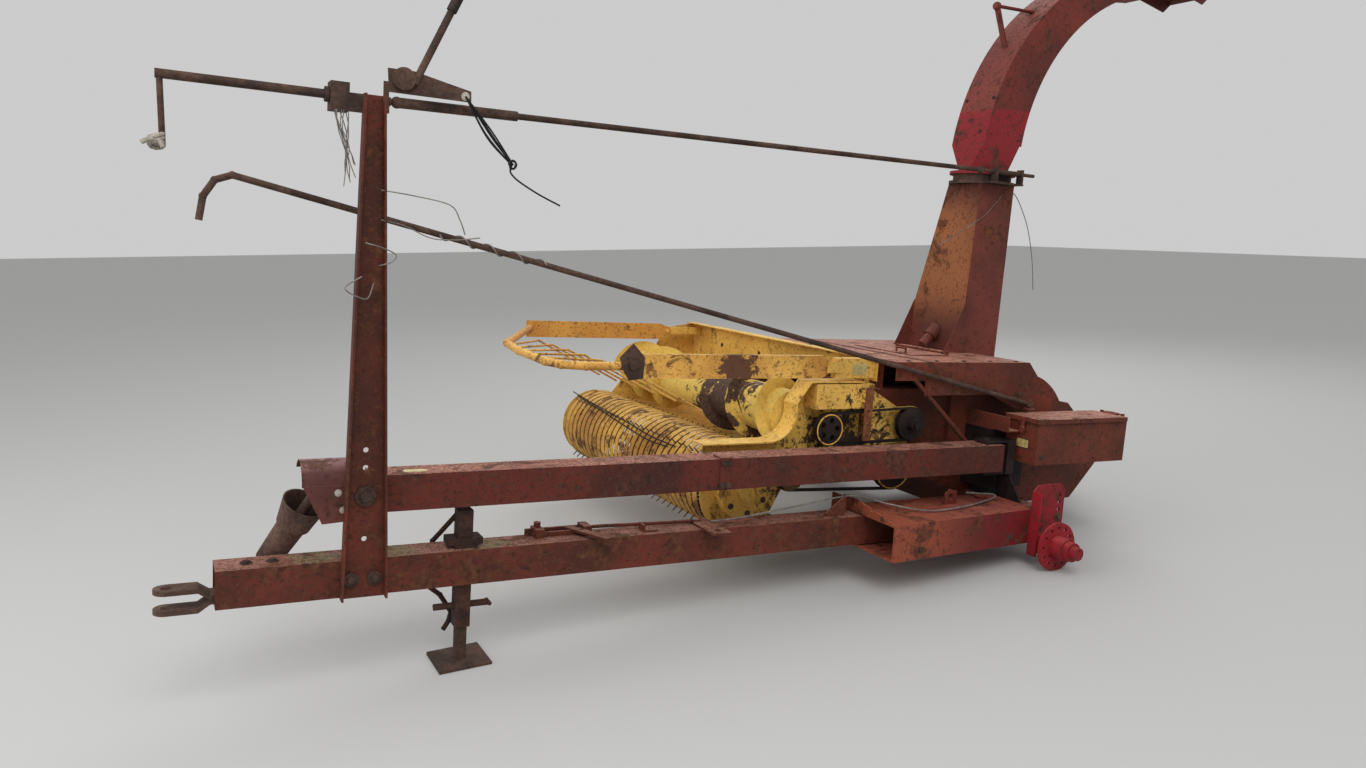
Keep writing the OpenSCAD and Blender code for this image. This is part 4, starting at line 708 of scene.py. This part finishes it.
ROPE_TAIL = ((2.544, -0.29, 1.478), (2.55, -0.288, 1.455), (2.532, -0.29, 1.435), (2.50, -0.29, 1.415),
             (2.44, -0.29, 1.385), (2.364, -0.29, 1.354))
CHUTE_WIRES = {
    "chute_wire_near": ((-0.287, -0.843, 1.617), (-0.237, -0.842, 1.567), (-0.176, -0.84, 1.506),
                        (-0.049, -0.84, 1.426), (0.108, -0.84, 1.336)),
    "chute_wire_far": ((-0.36, -0.90, 1.66), (-0.434, -0.9, 1.63), (-0.497, -0.9, 1.556),
                       (-0.557, -0.9, 1.454), (-0.612, -0.9, 1.295), (-0.644, -0.9, 1.133)),
}
CABLE_R = 0.004
WIRE_R = 0.0022
ROPE_R = 0.003
ROPE_SPREAD = 0.004
KNOT_R = 0.004
KNOT_LOOPS = 4


def wires():
    strand("latch_cable", LATCH_CABLE, CABLE_R, WIRE, "tongue")
    for name, points in POST_WIRES.items():
        strand(name, points, WIRE_R, WIRE, "tongue")
    for name, points in CHUTE_WIRES.items():
        strand(name, points, WIRE_R, WIRE, "base")


def rope():
    """The rope lever's rope: strands that sag to a knot, and one tail below it"""
    for i in range(ROPE_STRANDS):
        a = math.tau * i / ROPE_STRANDS
        sag = Vector((0.012 * math.cos(a), 0.008 * math.sin(a), -0.01 + 0.012 * math.sin(a)))
        middle = (Vector(ROPE_FROM) + Vector(ROPE_TO)) / 2 + sag
        end = Vector(ROPE_TO) + Vector((ROPE_SPREAD * math.cos(a), ROPE_SPREAD * math.sin(a), 0))
        strand(f"rope_strand_{i}", (ROPE_FROM, middle, end), ROPE_R, ROPE, "tongue")
    strand("rope_tail", ROPE_TAIL, ROPE_R, ROPE, "tongue")
    knot = Parts()
    for i in range(KNOT_LOOPS):
        a = math.tau * i / KNOT_LOOPS
        loop = []
        for b in (0.0, 0.7, 1.4, 2.1):
            loop.append(Vector(ROPE_TO) + Vector((0.012 * math.cos(a + b), 0.010 * math.sin(b),
                                                  0.014 * math.sin(a + b))))
        knot.tube(loop, KNOT_R, 6)
    knot.make("rope_knot", ROPE, "tongue", True)


PLATE_BORDER = 0.004
PLATE_PROUD = 0.0006


def blank_plate(name, low, high, normal_axis, body):
    """A blank label: a pale field on a slightly larger dark border. low and high bound the field's front"""
    border, field = Parts(), Parts()
    grow = [0 if i == normal_axis else PLATE_BORDER for i in range(3)]
    border.block([a - g for a, g in zip(low, grow)], [b + g for b, g in zip(high, grow)])
    field.block(low, [b + (PLATE_PROUD if i == normal_axis else 0) for i, b in enumerate(high)])
    border.make(name + "_border", PLATE_EDGE, body)
    field.make(name + "_field", PLATE_FACE, body)


BEAM_TOP = 0.4175


def tape_scrap():
    """A torn scrap of pale tape that lies on the beam's top"""
    outline = ((2.875, -0.337), (2.862, -0.352), (2.840, -0.345), (2.812, -0.349), (2.788, -0.336),
               (2.795, -0.318), (2.822, -0.310), (2.850, -0.316), (2.868, -0.312))
    verts = [(x, y, z) for z in (BEAM_TOP - 0.0005, BEAM_TOP + 0.0015) for x, y in outline]
    n = len(outline)
    faces = [tuple(range(n))[::-1], tuple(range(n, 2 * n))]
    faces += [(i, (i + 1) % n, n + (i + 1) % n, n + i) for i in range(n)]
    piece("tape_scrap", verts, faces, TAPE, "tongue")


SEAMS_X = (0.44, 0.10)
SEAM_STEPS_Y = (-0.46, -0.7, -0.95, -1.2, -1.5, -1.8)
SEAM_HALF = 0.0015
SEAM_PROUD = 0.0008
SEAM_T = 0.001
LEVEL_WITHIN = 0.004


def seams():
    """Dark joints between the hood's sheets, over the stretches where its top is level"""
    lines = Parts()
    surface = Surface("hood")
    for x in SEAMS_X:
        spots = [surface.under((x, y, ABOVE_HOOD), DOWN) for y in SEAM_STEPS_Y]
        spots = [p + Vector((0, 0, SEAM_PROUD)) for p in spots if p]
        for a, b in zip(spots, spots[1:]):
            if abs(a.z - b.z) < LEVEL_WITHIN:
                lines.block((x - SEAM_HALF, min(a.y, b.y), a.z - SEAM_T),
                            (x + SEAM_HALF, max(a.y, b.y), a.z))
    lines.make("hood_seams", PLATE_EDGE, "base")


LUGS = 30
LUG_INSIDE = 0.02
LUG_SHY = 0.001
LUG_HALF_ANGLE = 0.022
LUG_LEAN = 0.10
LUG_FROM = 0.10
LUG_TO = 0.62


def tread():
    """Shallow lugs round the tyre, within its own outline"""
    low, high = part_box("right_tyre")
    middle = [(a + b) / 2 for a, b in zip(low, high)]
    outer = (high[2] - low[2]) / 2
    half = (high[1] - low[1]) / 2
    verts, faces = [], []
    for i in range(LUGS):
        for side in (-1, 1):
            a = math.tau * (i + 0.25 * side) / LUGS
            base = len(verts)
            for y, turn in ((LUG_FROM * half * side, 0.0), (LUG_TO * half * side, LUG_LEAN * side)):
                for r in (outer - LUG_INSIDE, outer - LUG_SHY):
                    for w in (-LUG_HALF_ANGLE, LUG_HALF_ANGLE):
                        b = a + turn + w
                        verts.append((middle[0] + r * math.sin(b), middle[1] + y,
                                      middle[2] - r * math.cos(b)))
            for f in BLOCK_FACES:
                faces.append(tuple(base + k for k in f))
    mesh = bpy.data.meshes.new("tyre_lugs")
    mesh.from_pydata(verts, [], faces)
    mesh.validate()
    mesh.materials.append(TYRE)
    lugs = bpy.data.objects.new("tyre_lugs", mesh)
    bpy.context.scene.collection.objects.link(lugs)
    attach(lugs, "right_wheel")


RAG_AT = Vector((3.616, -0.318, 1.450))
RAG_COILS = 6
RAG_COIL_R = 0.019
RAG_STRAND_R = 0.0065
RAG_END_R = 0.008


def rag():
    """A pale rag knotted to the end of the crank's handle"""
    cloth = Parts()
    for i in range(RAG_COILS):
        tilt = 0.9 * i
        loop = []
        for k in range(9):
            a = math.tau * k / 8
            loop.append(RAG_AT + Vector((RAG_COIL_R * math.cos(a), RAG_COIL_R * math.sin(a),
                                         0.009 * math.sin(a + tilt) + 0.005 * i - 0.014)))
        cloth.tube(loop, RAG_STRAND_R, 6)
    for lean, drop in ((0.026, 0.012), (-0.012, 0.022)):
        cloth.tube([RAG_AT + Vector((0.4 * lean, 0.018, 0)), RAG_AT + Vector((lean, 0.026, -0.4 * drop)),
                    RAG_AT + Vector((1.5 * lean, 0.03, -drop))], RAG_END_R, 6)
    cloth.make("crank_rag", CLOTH, "tongue", True)


FRINGE_TOP = Vector((3.104, -0.292, 1.594))
FRINGE_STRANDS = 9
FRINGE_LENGTHS = (0.12, 0.27)
FRINGE_SWAY = 0.012
FRINGE_STRAND_R = 0.0016


def fringe():
    """Frayed pale string that hangs from the guide block beside the post"""
    string = Parts()
    for i in range(FRINGE_STRANDS):
        path = []
        sway = draw.uniform(-FRINGE_SWAY, FRINGE_SWAY)
        length = draw.uniform(*FRINGE_LENGTHS)
        for k in range(7):
            t = k / 6
            path.append(FRINGE_TOP + Vector((0.012 * math.sin(i) - 0.030 * t + 0.010 * math.sin(5 * t + i),
                                             sway + 0.006 * math.cos(6 * t + i), -length * t)))
        string.tube(path, FRINGE_STRAND_R, 5)
    string.make("frayed_string", WIRE, "tongue", True)


ROD_HIGH = Vector((3.405, -0.4315, 1.371))
ROD_LOW = Vector((-0.185, -0.420, 0.586))
ROD_R = 0.011
WRAP_FROM = 0.182
WRAP_TO = 0.292
WRAP_TURNS = 4
WRAP_STEPS = 14
WRAP_R = 0.003
WRAP_GAP = 0.0002


def rod_wrap():
    """A pale wire wound round the shift rod in long turns"""
    u, v = axes_of(ROD_LOW - ROD_HIGH)[1:]
    path = []
    count = WRAP_STEPS * WRAP_TURNS
    for k in range(count + 1):
        t = k / count
        a = math.tau * WRAP_TURNS * t
        middle = ROD_HIGH.lerp(ROD_LOW, WRAP_FROM + (WRAP_TO - WRAP_FROM) * t)
        path.append(middle + (u * math.cos(a) + v * math.sin(a)) * (ROD_R + WRAP_R + WRAP_GAP))
    wrap = Parts()
    wrap.tube(path, WRAP_R, 6)
    wrap.make("shift_rod_wrap", WIRE, "shift_rod", True)


UPPER_RIM_R = 0.068
LOWER_RIM_R = 0.102
RIM_STEPS = 32
RIM_BAR_R = 0.0035


def rim_points(axis, r, y):
    """A closed ring of points, whose last is its first"""
    angles = [math.tau * k / RIM_STEPS for k in range(RIM_STEPS + 1)]
    return [(axis[0] + r * math.cos(a), y, axis[1] + r * math.sin(a)) for a in angles]


def sheave_rims():
    """Yellow paint left on the rims of the two sheaves that face the tongue"""
    surface = Surface("header_drive")
    rims = Parts()
    for axis, r in ((UPPER_SHEAVE, UPPER_RIM_R), (LOWER_SHEAVE, LOWER_RIM_R)):
        spots = [surface.under(p, RIGHT) for p in rim_points(axis, r, BESIDE_HEADER)]
        spots = [p for p in spots if p and p.y > BELTS_BEYOND_Y]
        if spots:
            y = sorted(p.y for p in spots)[len(spots) // 2]
            rims.tube(rim_points(axis, r, y), RIM_BAR_R, 6)
    rims.make("sheave_rims", GUARD_YELLOW, "header", True)


LEVER_WASHER_AT = (2.712, -0.2945, 1.684)


def lever_washer():
    """The pale washer at the rope lever's eye"""
    washer = Parts()
    washer.prism(LEVER_WASHER_AT, LEFT, 0.014, 0.003, 20)
    washer.make("lever_washer", BARE_WHITE, "tongue", True)


REEL_WIRES = {
    "reel_wire_long": ((1.460, -2.300, 0.372), (1.477, -2.013, 0.361), (1.487, -1.713, 0.351),
                       (1.496, -1.441, 0.343), (1.506, -1.188, 0.331), (1.507, -0.919, 0.332)),
    "reel_wire_short": ((1.472, -2.202, 0.364), (1.492, -1.834, 0.347), (1.510, -1.471, 0.327),
                        (1.520, -1.182, 0.313), (1.517, -0.980, 0.320)),
}


def loose_wires_on_reel():
    """Two black wires that lie across the stripper bands"""
    for name, points in REEL_WIRES.items():
        strand(name, points, ROPE_R, ROPE, "header")


tongue_bolts()
base_bolts()
header_bolts()
spout_bolts()
wires()
rope()
tape_scrap()
seams()
tread()
rag()
fringe()
rod_wrap()
sheave_rims()
lever_washer()
loose_wires_on_reel()
blank_plate("tool_box_plate", (-0.018, -0.318, 0.406), (-0.0172, -0.248, 0.444), 0, "base")


# Floor and light
def plain(name, colour, rough=0.9):
    s = Shader(name)
    s.bsdf.inputs["Base Color"].default_value = colour
    s.bsdf.inputs["Roughness"].default_value = rough
    return s.material


FLOOR_HALF = 40.0
FLOOR_COLOUR = (0.50, 0.50, 0.49, 1)
SKY_COLOUR = (0.91, 0.91, 0.91, 1)
SKY_STRENGTH = 0.66
LAMP_SIZE = 5.0
LAMPS = (
    ("key", (2.0, 6.0, 7.0), (0.0, 0.0, 0.8), 300),
    ("fill", (6.0, 1.0, 4.0), (0.5, 0.0, 0.8), 140),
    ("rim", (-5.0, -4.0, 6.0), (0.0, 0.0, 1.0), 160),
)


def make_floor():
    mesh = bpy.data.meshes.new("floor")
    h = FLOOR_HALF
    mesh.from_pydata([(-h, -h, 0), (h, -h, 0), (h, h, 0), (-h, h, 0)], [], [(0, 1, 2, 3)])
    mesh.materials.append(plain("floor", FLOOR_COLOUR))
    floor = bpy.data.objects.new("floor", mesh)
    bpy.context.scene.collection.objects.link(floor)


def area_light(name, where, target, power):
    data = bpy.data.lights.new(name, "AREA")
    data.size = LAMP_SIZE
    data.energy = power
    lamp = bpy.data.objects.new(name, data)
    lamp.location = where
    lamp.rotation_euler = (Vector(target) - Vector(where)).to_track_quat("-Z", "Y").to_euler()
    bpy.context.scene.collection.objects.link(lamp)


def make_world():
    world = bpy.data.worlds.new("world")
    bpy.context.scene.world = world
    world.use_nodes = True
    tree = world.node_tree
    tree.nodes.clear()
    out = tree.nodes.new("ShaderNodeOutputWorld")
    sky = tree.nodes.new("ShaderNodeBackground")
    sky.inputs["Color"].default_value = SKY_COLOUR
    sky.inputs["Strength"].default_value = SKY_STRENGTH
    tree.links.new(sky.outputs[0], out.inputs[0])


make_floor()
make_world()
for lamp_facts in LAMPS:
    area_light(*lamp_facts)

bpy.context.scene.view_settings.view_transform = "Standard"
